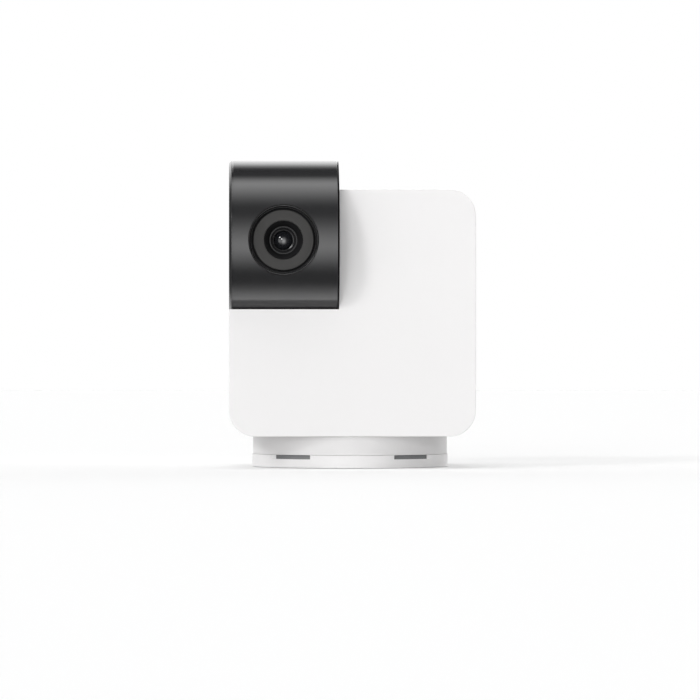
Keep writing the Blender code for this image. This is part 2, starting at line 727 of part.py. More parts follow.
def turn_about(piece, place, direction):
    """Turns a box that was made about the origin, and moves it to its place."""
    centre = turn_matrix(direction) @ Vector(piece.location)
    piece.location = Vector(place) + centre
    piece.rotation_euler = TURNS[direction]


# Places on the two gear trains
PAN_WALL = Vector((0, 0, BODY_FLOOR))
PAN_PINION_PLACE = PAN_WALL + polar(PAN_PINION_DISTANCE, PAN_MOTOR_ANGLE)
TILT_WALL = Vector((NOTCH_X + BODY_WALL, TILT_Y, TILT_Z))
TILT_PINION_PLACE = turned_place(TILT_WALL, "X", polar(TILT_PINION_DISTANCE, TILT_MOTOR_ANGLE))
HALF_PINION_TOOTH = math.pi / PINION_TEETH
BASE_SCREW_ANGLES = [
    BASE_SCREW_ANGLE,
    math.pi - BASE_SCREW_ANGLE,
    math.pi + BASE_SCREW_ANGLE,
    -BASE_SCREW_ANGLE,
]
SHELL_POST_PLACES = [
    (side * (BODY_WIDTH / 2 - SHELL_POST_INSET), BODY_BOTTOM + SHELL_POST_INSET) for side in (-1, 1)
]
BOARD_POST_PLACES = [
    (side * (BOARD_HALF_WIDTH - BOARD_POST_INSET), height)
    for side in (-1, 1)
    for height in (BOARD_BOTTOM + BOARD_POST_INSET, BOARD_TOP - BOARD_POST_INSET)
]
CHASSIS_POST_PLACES = [
    (side * (CHASSIS_HALF_WIDTH - CHASSIS_POST_INSET), y)
    for side in (-1, 1)
    for y in (BODY_FRONT + CHASSIS_POST_FRONT_INSET, SHELL_SEAM_Y - CHASSIS_POST_SEAM_INSET)
]


# The foot
def foot_pad():
    return rod("foot_pad", FOOT_RADIUS, 0, FOOT_THICKNESS, (0, 0, 0), material=RUBBER, steps=LARGE_STEPS)


def sound_slot(name, side):
    """A slot through the ring's wall, open at the seam."""
    front = -QUARTER
    start = front + side * SLOT_INNER_ANGLE
    end = front + side * SLOT_OUTER_ANGLE
    outer = arc(BASE_RADIUS + OVERRUN, start, end, CORNER_STEPS)
    inner = arc(BASE_INNER_RADIUS - OVERRUN / 2, end, start, CORNER_STEPS)
    low = BASE_SEAM_HEIGHT - SLOT_HEIGHT
    return flat(name, [outer + inner], low, BASE_SEAM_HEIGHT + OVERRUN, (0, 0, 0))


def base_cover():
    """The ring and floor of the foot, with sound slots, screw posts and the recess of the foot pad."""
    inner = BASE_INNER_RADIUS
    recess = FOOT_RADIUS + SEAT
    edge_centre = (BASE_RADIUS - BASE_EDGE, FOOT_PROUD + BASE_EDGE)
    profile = [(0, COVER_FLOOR), (inner, COVER_FLOOR)]
    profile += [(inner, BASE_SEAM_HEIGHT), (BASE_RADIUS, BASE_SEAM_HEIGHT)]
    profile += arc(BASE_EDGE, 0, -QUARTER, EDGE_STEPS, edge_centre)
    profile += [(recess, FOOT_PROUD), (recess, COVER_RECESS), (0, COVER_RECESS)]
    cover = turned("base_cover", profile, (0, 0, 0), material=WHITE_SHELL, steps=LARGE_STEPS)
    cut(cover, sound_slot("sound_slot_left", -1), sound_slot("sound_slot_right", 1))
    bearing = COVER_FLOOR + RUN
    for number, angle in enumerate(BASE_SCREW_ANGLES):
        place = polar(BASE_SCREW_PLACE, angle)
        post = rod(f"cover_post_{number}", BASE_POST_RADIUS, COVER_RECESS + RUN, BASE_SEAM_HEIGHT, place,
                   steps=SMALL_STEPS)
        pocket = rod(f"cover_pocket_{number}", SCREW_HEAD_RADIUS + SCREW_POCKET, -OVERRUN, bearing, place,
                     steps=SMALL_STEPS)
        hole = rod(f"cover_hole_{number}", SCREW_RADIUS + SCREW_PILOT, -OVERRUN,
                   BASE_SEAM_HEIGHT + OVERRUN, place, steps=SMALL_STEPS)
        join(cover, post)
        cut(cover, pocket, hole)
    for side in (-1, 1):
        place = Vector((side * POWER_POST_X, POWER_POST_Y, COVER_FLOOR))
        post = rod(f"power_post_{side}", POWER_POST_RADIUS, -BASE_FLOOR / 2, POWER_POST_HEIGHT, place,
                   steps=SMALL_STEPS)
        join(cover, post)
    return cover


def base_shell():
    """The upper part of the foot: a roof with the glide groove and the hub's hole, and the wall."""
    inner = BASE_SHELL_RADIUS - BASE_WALL
    hole = HUB_RADIUS + RUN
    groove = BASE_HEIGHT - GLIDE_GROOVE
    profile = [(hole, BASE_HEIGHT), (GLIDE_RADIUS - SEAT, BASE_HEIGHT), (GLIDE_RADIUS - SEAT, groove)]
    glide_outer = GLIDE_RADIUS + GLIDE_WIDTH + SEAT
    profile += [(glide_outer, groove), (glide_outer, BASE_HEIGHT)]
    edge_centre = (BASE_SHELL_RADIUS - BASE_EDGE, BASE_HEIGHT - BASE_EDGE)
    profile += arc(BASE_EDGE, QUARTER, 0, EDGE_STEPS, edge_centre)
    profile += [(BASE_SHELL_RADIUS, BASE_SHELL_BOTTOM), (inner, BASE_SHELL_BOTTOM)]
    profile += [(inner, BASE_ROOF_HEIGHT), (hole, BASE_ROOF_HEIGHT)]
    shell = turned("base_shell", profile, (0, 0, 0), material=WHITE_SHELL, steps=LARGE_STEPS)
    for number, angle in enumerate(BASE_SCREW_ANGLES):
        place = polar(BASE_SCREW_PLACE, angle)
        post = rod(f"shell_post_{number}", BASE_POST_RADIUS, BASE_SHELL_BOTTOM,
                   BASE_ROOF_HEIGHT + BASE_ROOF / 2, place, steps=SMALL_STEPS)
        hole = rod(f"shell_pilot_{number}", SCREW_RADIUS + SCREW_PILOT, 0,
                   COVER_FLOOR + BASE_SCREW_LENGTH + SEAT, place, steps=SMALL_STEPS)
        join(shell, post)
        cut(shell, hole)
    half = SOCKET_WIDTH / 2 + RUN
    opening = block(
        "socket_opening",
        (-half, POWER_BOARD_BACK, BASE_SHELL_BOTTOM - OVERRUN),
        (half, BASE_RADIUS + OVERRUN, SOCKET_BOTTOM + SOCKET_HEIGHT + RUN),
        corner_axis="Y",
        corner=SOCKET_HEIGHT / 2 - SOCKET_WALL,
    )
    button_hole = rod("button_hole", BUTTON_RADIUS + RUN, BUTTON_WALL_Y - OVERRUN, BASE_RADIUS + OVERRUN,
                      (BUTTON_X, 0, BUTTON_Z), "Y", steps=SMALL_STEPS)
    cut(shell, opening, button_hole)
    return shell


def glide_ring():
    low = BASE_HEIGHT - GLIDE_GROOVE + SEAT
    high = BODY_BOTTOM - RUN / 2
    outer = GLIDE_RADIUS + GLIDE_WIDTH
    profile = [(GLIDE_RADIUS, high), (outer, high), (outer, low), (GLIDE_RADIUS, low)]
    return turned("glide_ring", profile, (0, 0, 0), material=WHITE_ACETAL, steps=LARGE_STEPS)


def ballast_plate():
    low = COVER_FLOOR + SEAT
    profile = [(BALLAST_HOLE_RADIUS, BALLAST_TOP), (BALLAST_RADIUS, BALLAST_TOP)]
    profile += [(BALLAST_RADIUS, low), (BALLAST_HOLE_RADIUS, low)]
    plate = turned("ballast_plate", profile, (0, 0, 0), material=STEEL)
    flat_side = block(
        "ballast_flat",
        (-BASE_RADIUS, POWER_BOARD_FRONT - CHASSIS_CLEARANCE, -OVERRUN),
        (BASE_RADIUS, BASE_RADIUS, BASE_HEIGHT),
    )
    cut(plate, flat_side)
    return plate


def speaker():
    """A flat loudspeaker over the ballast, behind the sound slots."""
    half = SPEAKER_WIDTH / 2
    low = BALLAST_TOP + SEAT
    high = low + SPEAKER_HEIGHT
    frame = block("speaker_frame", (-half, SPEAKER_FRONT, low), (half, SPEAKER_BACK, high), BLACK_PLASTIC,
                  "Z", SPEAKER_CORNER)
    rim = SPEAKER_RIM
    pocket_low = high - SPEAKER_CONE_SINK - SPEAKER_CONE_THICKNESS - SEAT
    pocket = block(
        "speaker_pocket",
        (-half + rim, SPEAKER_FRONT + rim, pocket_low),
        (half - rim, SPEAKER_BACK - rim, high + OVERRUN),
        corner_axis="Z",
        corner=SPEAKER_CORNER - rim / 2,
    )
    cut(frame, pocket)
    rim += SEAT
    cone = block(
        "speaker_cone",
        (-half + rim, SPEAKER_FRONT + rim, pocket_low + SEAT),
        (half - rim, SPEAKER_BACK - rim, pocket_low + SEAT + SPEAKER_CONE_THICKNESS),
        RUBBER,
        "Z",
        SPEAKER_CORNER - rim / 2,
    )
    return frame, cone


def power_board():
    return block(
        "power_board",
        (-POWER_BOARD_HALF_WIDTH, POWER_BOARD_FRONT, POWER_BOARD_BOTTOM),
        (POWER_BOARD_HALF_WIDTH, POWER_BOARD_BACK, POWER_BOARD_TOP),
        CIRCUIT_BOARD,
    )


def power_socket():
    """The inlet of the supply: a flat steel mouth with a tongue in it."""
    half = SOCKET_WIDTH / 2
    back = BASE_SHELL_RADIUS - SOCKET_SINK
    top = SOCKET_BOTTOM + SOCKET_HEIGHT
    front = back - SOCKET_LENGTH
    corner = SOCKET_HEIGHT / 2 - SOCKET_WALL
    socket = block("power_socket", (-half, front, SOCKET_BOTTOM), (half, back, top), STEEL, "Y", corner)
    mouth = block(
        "socket_mouth",
        (-half + SOCKET_WALL, back - SOCKET_DEPTH, SOCKET_BOTTOM + SOCKET_WALL),
        (half - SOCKET_WALL, back + OVERRUN, top - SOCKET_WALL),
        corner_axis="Y",
        corner=corner - SOCKET_WALL,
    )
    cut(socket, mouth)
    middle = (SOCKET_BOTTOM + top) / 2
    tongue = block(
        "socket_tongue",
        (-SOCKET_TONGUE_WIDTH / 2, back - SOCKET_DEPTH - SOCKET_WALL, middle - SOCKET_TONGUE / 2),
        (SOCKET_TONGUE_WIDTH / 2, back - SOCKET_TONGUE_SINK, middle + SOCKET_TONGUE / 2),
    )
    join(socket, tongue)
    return socket


def reset_switch():
    """The small switch behind the reset button, with its plunger."""
    half = SWITCH_SIZE / 2
    plunger_end = BUTTON_INNER_Y - BUTTON_TRAVEL - RUN / 2
    face = plunger_end - SWITCH_PLUNGER
    switch = block("reset_switch", (BUTTON_X - half, face - SWITCH_SIZE, SOCKET_BOTTOM),
                   (BUTTON_X + half, face, SOCKET_BOTTOM + SWITCH_SIZE), BLACK_PLASTIC)
    plunger = rod("switch_plunger", SWITCH_PLUNGER_RADIUS, face - SWITCH_SIZE / 2, plunger_end,
                  (BUTTON_X, 0, BUTTON_Z), "Y", steps=SMALL_STEPS)
    join(switch, plunger)
    return switch


def reset_button():
    outside = BUTTON_OUTSIDE_Y + BUTTON_PROUD - BUTTON_INNER_Y
    profile = [
        (0, outside),
        (BUTTON_RADIUS - SCREW_CHAMFER, outside),
        (BUTTON_RADIUS, outside - SCREW_CHAMFER),
        (BUTTON_RADIUS, BUTTON_FLANGE),
        (BUTTON_FLANGE_RADIUS, BUTTON_FLANGE),
        (BUTTON_FLANGE_RADIUS, 0),
        (0, 0),
    ]
    place = (BUTTON_X, BUTTON_INNER_Y, BUTTON_Z)
    return turned("reset_button", profile, place, "Y", BLACK_PLASTIC, SMALL_STEPS)


def base_screws():
    for number, angle in enumerate(BASE_SCREW_ANGLES, 1):
        screw(f"base_screw_{number}", polar(BASE_SCREW_PLACE, angle, COVER_FLOOR + RUN - SEAT), "Z",
              BASE_SCREW_LENGTH)


# The body
def inside_block(name, inset, front, back, rims=()):
    """A box that follows the body's outline from within."""
    return block(
        name,
        (BODY_LEFT + inset, front, BODY_BOTTOM + inset),
        (BODY_RIGHT - inset, back, BODY_TOP - inset),
        corner_axis="Y",
        corner=BODY_CORNER - inset,
        rims=rims,
    )


def front_shell():
    """The rounded square moulding, with the roller's trough in its upper left corner."""
    shell = block(
        "front_shell",
        (BODY_LEFT, BODY_FRONT, BODY_BOTTOM),
        (BODY_RIGHT, SHELL_SEAM_Y, BODY_TOP),
        WHITE_SHELL,
        "Y",
        BODY_CORNER,
        [("Y", -1, BODY_FRONT_EDGE)],
    )
    hollow = inside_block("front_hollow", BODY_WALL, BODY_FRONT + BODY_WALL, SHELL_SEAM_Y + OVERRUN)
    tilt_axis = (0, TILT_Y, TILT_Z)
    left = BODY_LEFT - OVERRUN
    trough_wall = rod("trough_wall", TROUGH_RADIUS + TROUGH_WALL, left, NOTCH_X + BODY_WALL, tilt_axis, "X",
                      steps=LARGE_STEPS)
    cut(hollow, trough_wall)
    trough = rod("trough", TROUGH_RADIUS, left, NOTCH_X, tilt_axis, "X", steps=LARGE_STEPS)
    cut(shell, hollow, trough)

    for number, (x, y) in enumerate(CHASSIS_POST_PLACES):
        place = Vector((x, y, BODY_FLOOR))
        top = Vector((x, y, BODY_FLOOR + CHASSIS_LOW))
        join(shell, rod(f"chassis_post_{number}", POST_RADIUS, -BODY_WALL / 2, CHASSIS_LOW - SEAT, place,
                        steps=SMALL_STEPS))
        cut(shell, pilot(f"chassis_pilot_{number}", top, "-Z", SCREW_LENGTH))
    for number, (x, z) in enumerate(SHELL_POST_PLACES):
        join(shell, rod(f"shell_screw_post_{number}", SHELL_POST_RADIUS, BODY_FRONT + BODY_WALL / 2,
                        SHELL_POST_END - SEAT, (x, 0, z), "Y", steps=SMALL_STEPS))
        cut(shell, pilot(f"shell_screw_pilot_{number}", (x, SHELL_POST_END, z), "-Y", SHELL_SCREW_LENGTH))

    outside = -BODY_WALL - OVERRUN
    pan_hole = rod("pan_bush_hole", BUSH_HOLE_RADIUS, outside, OVERRUN, PAN_WALL)
    tilt_hole = rod("tilt_bush_hole", BUSH_HOLE_RADIUS, outside, OVERRUN, TILT_WALL, "X")
    bore = MICROPHONE_RADIUS + RUN
    low = -MICROPHONE_RIB_HEIGHT
    rib = rod("microphone_rib", bore + MICROPHONE_RIB, low, BODY_WALL / 2, MICROPHONE_PLACE,
              steps=SMALL_STEPS)
    rib_bore = rod("microphone_bore", bore, low - OVERRUN, 0, MICROPHONE_PLACE, steps=SMALL_STEPS)
    pinhole = rod("microphone_pinhole", MICROPHONE_HOLE_RADIUS, -OVERRUN, BODY_WALL + OVERRUN,
                  MICROPHONE_PLACE, steps=SMALL_STEPS)
    join(shell, rib)
    cut(shell, rib_bore, pinhole, pan_hole, tilt_hole)
    return shell


def rear_shell():
    """The back of the body: a cup with a lip inside the seam, screw tubes, board posts and vents."""
    start = SHELL_SEAM_Y + SEAM
    lip_end = start + LIP_ROOT
    inner_back = BODY_BACK - BODY_WALL
    shell = block(
        "rear_shell",
        (BODY_LEFT, start, BODY_BOTTOM),
        (BODY_RIGHT, BODY_BACK, BODY_TOP),
        WHITE_SHELL,
        "Y",
        BODY_CORNER,
        [("Y", 1, BODY_REAR_EDGE)],
    )
    lip = inside_block("lip", BODY_WALL + RUN, SHELL_POST_END, start + LIP_ROOT / 2)
    join(shell, lip)
    rear_rim = [("Y", 1, min(BODY_REAR_EDGE - BODY_WALL, inner_back - lip_end - SEAT))]
    cut(
        shell,
        inside_block("rear_hollow", BODY_WALL, lip_end, inner_back, rear_rim),
        inside_block("lip_hollow", BODY_WALL + RUN + LIP_WALL, SHELL_POST_END - OVERRUN, lip_end + RUN),
    )
    for number, (x, z) in enumerate(SHELL_POST_PLACES):
        place = (x, 0, z)
        bearing = SHELL_POST_END + SHELL_SCREW_GRIP
        tube = rod(f"screw_tube_{number}", SHELL_POST_RADIUS, SHELL_POST_END, inner_back + BODY_WALL / 2,
                   place, "Y", steps=SMALL_STEPS)
        pocket = rod(f"screw_pocket_{number}", SCREW_HEAD_RADIUS + SCREW_POCKET, bearing,
                     BODY_BACK + OVERRUN, place, "Y", steps=SMALL_STEPS)
        hole = rod(f"screw_hole_{number}", SCREW_RADIUS + SCREW_PILOT, SHELL_POST_END - OVERRUN,
                   BODY_BACK, place, "Y", steps=SMALL_STEPS)
        join(shell, tube)
        cut(shell, pocket, hole)
    for number, (x, z) in enumerate(BOARD_POST_PLACES):
        join(shell, rod(f"board_post_{number}", POST_RADIUS, BOARD_BACK + SEAT, inner_back + BODY_WALL / 2,
                        (x, 0, z), "Y", steps=SMALL_STEPS))
        cut(shell, pilot(f"board_pilot_{number}", (x, BOARD_FRONT - SEAT, z), "Y", SCREW_LENGTH))
    for number in range(VENT_COUNT):
        middle = (BODY_BOTTOM + BODY_TOP + VENT_PITCH * (2 * number - VENT_COUNT + 1)) / 2
        cut(
            shell,
            block(
                f"vent_{number}",
                (-VENT_WIDTH / 2, inner_back - OVERRUN, middle - VENT_HEIGHT / 2),
                (VENT_WIDTH / 2, BODY_BACK + OVERRUN, middle + VENT_HEIGHT / 2),
            ),
        )
    return shell


def shell_screws():
    bearing = SHELL_POST_END + SHELL_SCREW_GRIP + SEAT
    return [
        screw(f"shell_screw_{number}", (x, bearing, z), "-Y", SHELL_SCREW_LENGTH)
        for number, (x, z) in enumerate(SHELL_POST_PLACES, 1)
    ]


def chassis():
    """The frame inside the body: a deck over the pan gear and an upright beside the tilt gear."""
    low = BODY_FLOOR + CHASSIS_LOW
    high = BODY_FLOOR + CHASSIS_HIGH
    deck = block(
        "chassis",
        (-CHASSIS_HALF_WIDTH, CHASSIS_FRONT, low),
        (CHASSIS_HALF_WIDTH, CHASSIS_BACK, high),
        GREY_PLASTIC,
        "Z",
        CHASSIS_CORNER,
    )
    upright = block(
        "upright",
        (UPRIGHT_X, CHASSIS_FRONT, low + CHASSIS_THICKNESS / 2),
        (UPRIGHT_X + CHASSIS_THICKNESS, UPRIGHT_BACK, BODY_CEILING - CHASSIS_MARGIN),
        corner_axis="X",
        corner=CHASSIS_CORNER,
    )
    square_foot = block(
        "upright_foot",
        (UPRIGHT_X, CHASSIS_FRONT, low + CHASSIS_THICKNESS / 3),
        (UPRIGHT_X + CHASSIS_THICKNESS, UPRIGHT_BACK, high + 2 * CHASSIS_CORNER),
    )
    join(deck, upright, square_foot)
    for name, place, pinion, direction in (
        ("pan", PAN_WALL, PAN_PINION_PLACE, "Z"),
        ("tilt", TILT_WALL, TILT_PINION_PLACE, "X"),
    ):
        centre = CHASSIS_LOW + CHASSIS_THICKNESS / 2
        span = CHASSIS_THICKNESS / 2 + SEAT
        hub_hole = turned_place(place, direction, (0, 0, centre))
        boss_hole = turned_place(pinion, direction, (0, 0, centre))
        cut(
            deck,
            rod(name + "_hub_hole", HUB_CLEARANCE_RADIUS, -span, span, hub_hole, direction),
            rod(name + "_boss_hole", MOTOR_BOSS_RADIUS + SEAT, -span, span, boss_hole, direction),
        )
        for side in (-1, 1):
            hole = turned_place(pinion, direction, (side * MOTOR_EAR_REACH, 0, centre))
            cut(deck, rod(f"{name}_ear_pilot_{side}", SCREW_RADIUS + SCREW_PILOT, -span, span, hole,
                          direction, steps=SMALL_STEPS))
    for number, (x, y) in enumerate(CHASSIS_POST_PLACES):
        cut(deck, rod(f"deck_hole_{number}", SCREW_RADIUS + SCREW_PILOT, low - OVERRUN, high + OVERRUN,
                      (x, y, 0), steps=SMALL_STEPS))
    return deck


def chassis_screws():
    corners = (CHASSIS_POST_PLACES[0], CHASSIS_POST_PLACES[-1])
    height = BODY_FLOOR + CHASSIS_HIGH + SEAT
    return [
        screw(f"chassis_screw_{number}", (x, y, height), "-Z", SCREW_LENGTH)
        for number, (x, y) in enumerate(corners, 1)
    ]


def motor_screws():
    screws = []
    height = CHASSIS_HIGH + SEAT + MOTOR_EAR_THICKNESS + SEAT
    for name, place, direction, back in (
        ("pan", PAN_PINION_PLACE, "Z", "-Z"),
        ("tilt", TILT_PINION_PLACE, "X", "-X"),
    ):
        for number, side in enumerate((-1, 1), 1):
            bearing = turned_place(place, direction, (side * MOTOR_EAR_REACH, 0, height))
            length = height - CHASSIS_LOW + RUN
            screws.append(screw(f"{name}_motor_screw_{number}", bearing, back, length))
    return screws


def main_board():
    board = block("main_board", (-BOARD_HALF_WIDTH, BOARD_FRONT, BOARD_BOTTOM),
                  (BOARD_HALF_WIDTH, BOARD_BACK, BOARD_TOP), CIRCUIT_BOARD)
    for number, (x, z) in enumerate(BOARD_POST_PLACES):
        cut(board, rod(f"board_hole_{number}", SCREW_RADIUS + SCREW_PILOT, BOARD_FRONT - OVERRUN,
                       BOARD_BACK + OVERRUN, (x, 0, z), "Y", steps=SMALL_STEPS))
    return board


def board_screws():
    corners = (BOARD_POST_PLACES[0], BOARD_POST_PLACES[-1])
    return [
        screw(f"board_screw_{number}", (x, BOARD_FRONT - SEAT, z), "Y", SCREW_LENGTH)
        for number, (x, z) in enumerate(corners, 1)
    ]


def shield_can():
    half = SHIELD_WIDTH / 2
    middle = (BOARD_BOTTOM + BOARD_TOP) / 2
    back = BOARD_FRONT - SEAT
    return block(
        "shield_can",
        (-half, back - SHIELD_THICKNESS, middle - half),
        (half, back, middle + half),
        STEEL,
        "Y",
        SHIELD_CORNER,
        [("Y", -1, SHIELD_EDGE)],
    )


def antenna():
    top = BODY_CEILING - SEAT
    return block(
        "antenna",
        (ANTENNA_RIGHT - ANTENNA_LENGTH, ANTENNA_FRONT, top - ANTENNA_THICKNESS),
        (ANTENNA_RIGHT, ANTENNA_BACK, top),
        CIRCUIT_BOARD,
    )


def microphone():
    """A small microphone in a rubber boot, held by the rib under its pinhole."""
    return rod("microphone", MICROPHONE_RADIUS, -SEAT - MICROPHONE_LENGTH, -SEAT, MICROPHONE_PLACE,
               material=RUBBER, steps=SMALL_STEPS)


# The roller
def roller_half(name, side):
    """Half of the roller's shell, closed at its right end round the tilt hub."""
    hole = HUB_RADIUS + RUN
    left = BODY_LEFT + CAP_THICKNESS + SEAM
    inner = HEAD_RADIUS - HEAD_WALL
    edge_centre = (HEAD_RADIUS - HEAD_EDGE, HEAD_RIGHT - HEAD_EDGE)
    profile = [(hole, HEAD_RIGHT)]
    profile += arc(HEAD_EDGE, QUARTER, 0, EDGE_STEPS, edge_centre)
    profile += [(HEAD_RADIUS, left), (inner, left), (inner, HEAD_RIGHT - HEAD_END_WALL)]
    profile += [(hole, HEAD_RIGHT - HEAD_END_WALL)]
    half = turned(name, profile, (0, TILT_Y, TILT_Z), "X", GLOSS_BLACK, LARGE_STEPS)
    reach = HEAD_RADIUS + OVERRUN
    split = TILT_Y + side * SEAM / 2
    other = block(
        name + "_other_half",
        (BODY_LEFT - OVERRUN, min(split, TILT_Y - side * reach), TILT_Z - reach),
        (HEAD_RIGHT + OVERRUN, max(split, TILT_Y - side * reach), TILT_Z + reach),
    )
    cut(half, other)
    return half


def roller_front():
    """The front half, with the lens opening and the posts that the sensor board stands on."""
    half = roller_half("roller_front", -1)
    lens_axis = Vector((LENS_X, TILT_Y, TILT_Z))
    for number, (x, z) in enumerate([(x, z) for x in (-1, 1) for z in (-1, 1)]):
        place = lens_axis + Vector((x * SENSOR_POST_X, 0, z * SENSOR_POST_Z))
        wall = math.sqrt((HEAD_RADIUS - HEAD_WALL) ** 2 - (SENSOR_POST_Z + SENSOR_POST_RADIUS) ** 2)
        join(half, rod(f"sensor_post_{number}", SENSOR_POST_RADIUS, SENSOR_BOARD_FRONT + SEAT,
                       wall + HEAD_WALL / 2, place, "-Y", steps=SMALL_STEPS))
    cut(half, rod("lens_hole", LENS_HOLE_RADIUS, HEAD_RADIUS / 2, HEAD_RADIUS + OVERRUN, lens_axis, "-Y",
                  steps=LARGE_STEPS))
    return half


def roller_end_cap():
    """The disc at the roller's left end, with a spigot inside the shells."""
    inside = BODY_LEFT + CAP_THICKNESS
    spigot = HEAD_RADIUS - HEAD_WALL - SEAT
    spigot_inner = spigot - CAP_SPIGOT_WALL
    profile = [(0, inside), (spigot_inner, inside), (spigot_inner, inside + CAP_SPIGOT)]
    profile += [(spigot, inside + CAP_SPIGOT), (spigot, inside), (HEAD_RADIUS, inside)]
    edge_centre = (HEAD_RADIUS - CAP_EDGE, BODY_LEFT + CAP_EDGE)
    profile += arc(CAP_EDGE, 0, -QUARTER, RIM_STEPS, edge_centre)
    profile += [(0, BODY_LEFT)]
    return turned("roller_end_cap", profile, (0, TILT_Y, TILT_Z), "X", GLOSS_BLACK, LARGE_STEPS)


def lens_bezel():
    """The bevelled ring in the roller's opening, with the shelf of the window and a flange inside."""
    outer = LENS_HOLE_RADIUS - RUN
    bore = WINDOW_RADIUS + SEAT
    shelf = bore - BEZEL_SHELF - SEAT
    profile = [
        (outer - BEZEL_RIM, BEZEL_FRONT),
        (outer, BEZEL_FRONT),
        (outer, BEZEL_BACK + BEZEL_FLANGE),
        (BEZEL_FLANGE_RADIUS, BEZEL_BACK + BEZEL_FLANGE),
        (BEZEL_FLANGE_RADIUS, BEZEL_BACK),
        (shelf, BEZEL_BACK),
        (shelf, SHELF_FRONT),
        (bore, SHELF_FRONT),
        (bore, WINDOW_FRONT - RUN),
    ]
    return lens_piece("lens_bezel", profile, SATIN_BLACK)


def lens_piece(name, profile, material, x=0, steps=LENS_STEPS):
    return turned(name, profile, (LENS_X + x, TILT_Y, TILT_Z), "-Y", material, steps)


def face_window():
    profile = [(RECESS_RADIUS, WINDOW_FRONT), (WINDOW_RADIUS, WINDOW_FRONT)]
    profile += [(WINDOW_RADIUS, WINDOW_BACK), (RECESS_RADIUS, WINDOW_BACK)]
    return lens_piece("face_window", profile, SMOKED_WINDOW)


def lens_barrel():
    """The barrel: a cone down to two stepped rings, the front lens's bore, and a wider bore behind."""
    rear_bore = BARREL_RADIUS - BARREL_REAR_WALL
    profile = [
        (BARREL_RADIUS - RECESS_RIM, BARREL_FRONT),
        (BARREL_RADIUS, BARREL_FRONT),
        (BARREL_RADIUS, BARREL_BACK),
        (rear_bore, BARREL_BACK),
        (rear_bore, BORE_BACK),
        (LENS_BORE_RADIUS, BORE_BACK),
        (LENS_BORE_RADIUS, BORE_FRONT),
        (LENS_RING_RADIUS, BORE_FRONT + LENS_RING_STEP),
        (LENS_RING_RADIUS, RECESS_FLOOR),
        (BARREL_RADIUS - RECESS_CONE, RECESS_FLOOR),
    ]
    return lens_piece("lens_barrel", profile, BLACK_PLASTIC)


def front_lens():
    """A domed lens: its curved face is an arc over the lens's width."""
    radius = LENS_BORE_RADIUS - RUN
    top = BORE_FRONT - LENS_SINK
    curve = (radius**2 + LENS_DOME**2) / (2 * LENS_DOME)
    spread = math.asin(radius / curve)
    dome = arc(curve, QUARTER, QUARTER - spread, RIM_STEPS, (0, top - curve))
    dome[0] = (0, top)
    back = top - LENS_DOME - LENS_EDGE
    return lens_piece("front_lens", dome + [(radius, back), (0, back)], LENS_GLASS)


def rear_lens():
    radius = BARREL_RADIUS - BARREL_REAR_WALL - RUN
    front = BORE_BACK - REAR_LENS_SETBACK
    back = front - REAR_LENS_THICKNESS
    return lens_piece("rear_lens", [(0, front), (radius, front), (radius, back), (0, back)], LENS_GLASS)


def lens_holder():
    """The square block that the barrel stands in, glued over the sensor."""
    half = HOLDER_WIDTH / 2
    low = Vector((LENS_X - half, TILT_Y - HOLDER_FRONT, TILT_Z - half))
    high = Vector((LENS_X + half, TILT_Y - HOLDER_REAR, TILT_Z + half))
    holder = block("lens_holder", low, high, BLACK_PLASTIC, "Y", SPEAKER_CORNER)
    axis = (LENS_X, TILT_Y, TILT_Z)
    cut(
        holder,
        rod("barrel_bore", BARREL_RADIUS + RUN, HOLDER_SEAT, HOLDER_FRONT + OVERRUN, axis, "-Y",
            steps=LENS_STEPS),
        rod("sensor_aperture", SENSOR_APERTURE_RADIUS, HOLDER_REAR - OVERRUN, HOLDER_FRONT, axis,
            "-Y"),
    )
    return holder


def sensor_board():
    return block(
        "sensor_board",
        (LENS_X - SENSOR_BOARD_WIDTH / 2, TILT_Y - SENSOR_BOARD_FRONT, TILT_Z - SENSOR_BOARD_HEIGHT / 2),
        (LENS_X + SENSOR_BOARD_WIDTH / 2, TILT_Y - SENSOR_BOARD_REAR, TILT_Z + SENSOR_BOARD_HEIGHT / 2),
        CIRCUIT_BOARD,
    )


def infrared_board():
    inner = BARREL_RADIUS + SEAT
    profile = [(inner, INFRARED_BOARD_FRONT), (INFRARED_BOARD_RADIUS, INFRARED_BOARD_FRONT)]
    profile += [(INFRARED_BOARD_RADIUS, INFRARED_BOARD_REAR), (inner, INFRARED_BOARD_REAR)]
    return lens_piece("infrared_board", profile, CIRCUIT_BOARD)


def infrared_led(name, side):
    low = INFRARED_BOARD_FRONT + SEAT
    dome_start = low + INFRARED_LED_HEIGHT - INFRARED_LED_RADIUS
    profile = arc(INFRARED_LED_RADIUS, QUARTER, 0, RIM_STEPS, (0, dome_start))
    profile[0] = (0, low + INFRARED_LED_HEIGHT)
    profile += [(INFRARED_LED_RADIUS, low), (0, low)]
    return lens_piece(name, profile, LED_RESIN, side * INFRARED_LED_PLACE, SMALL_STEPS)


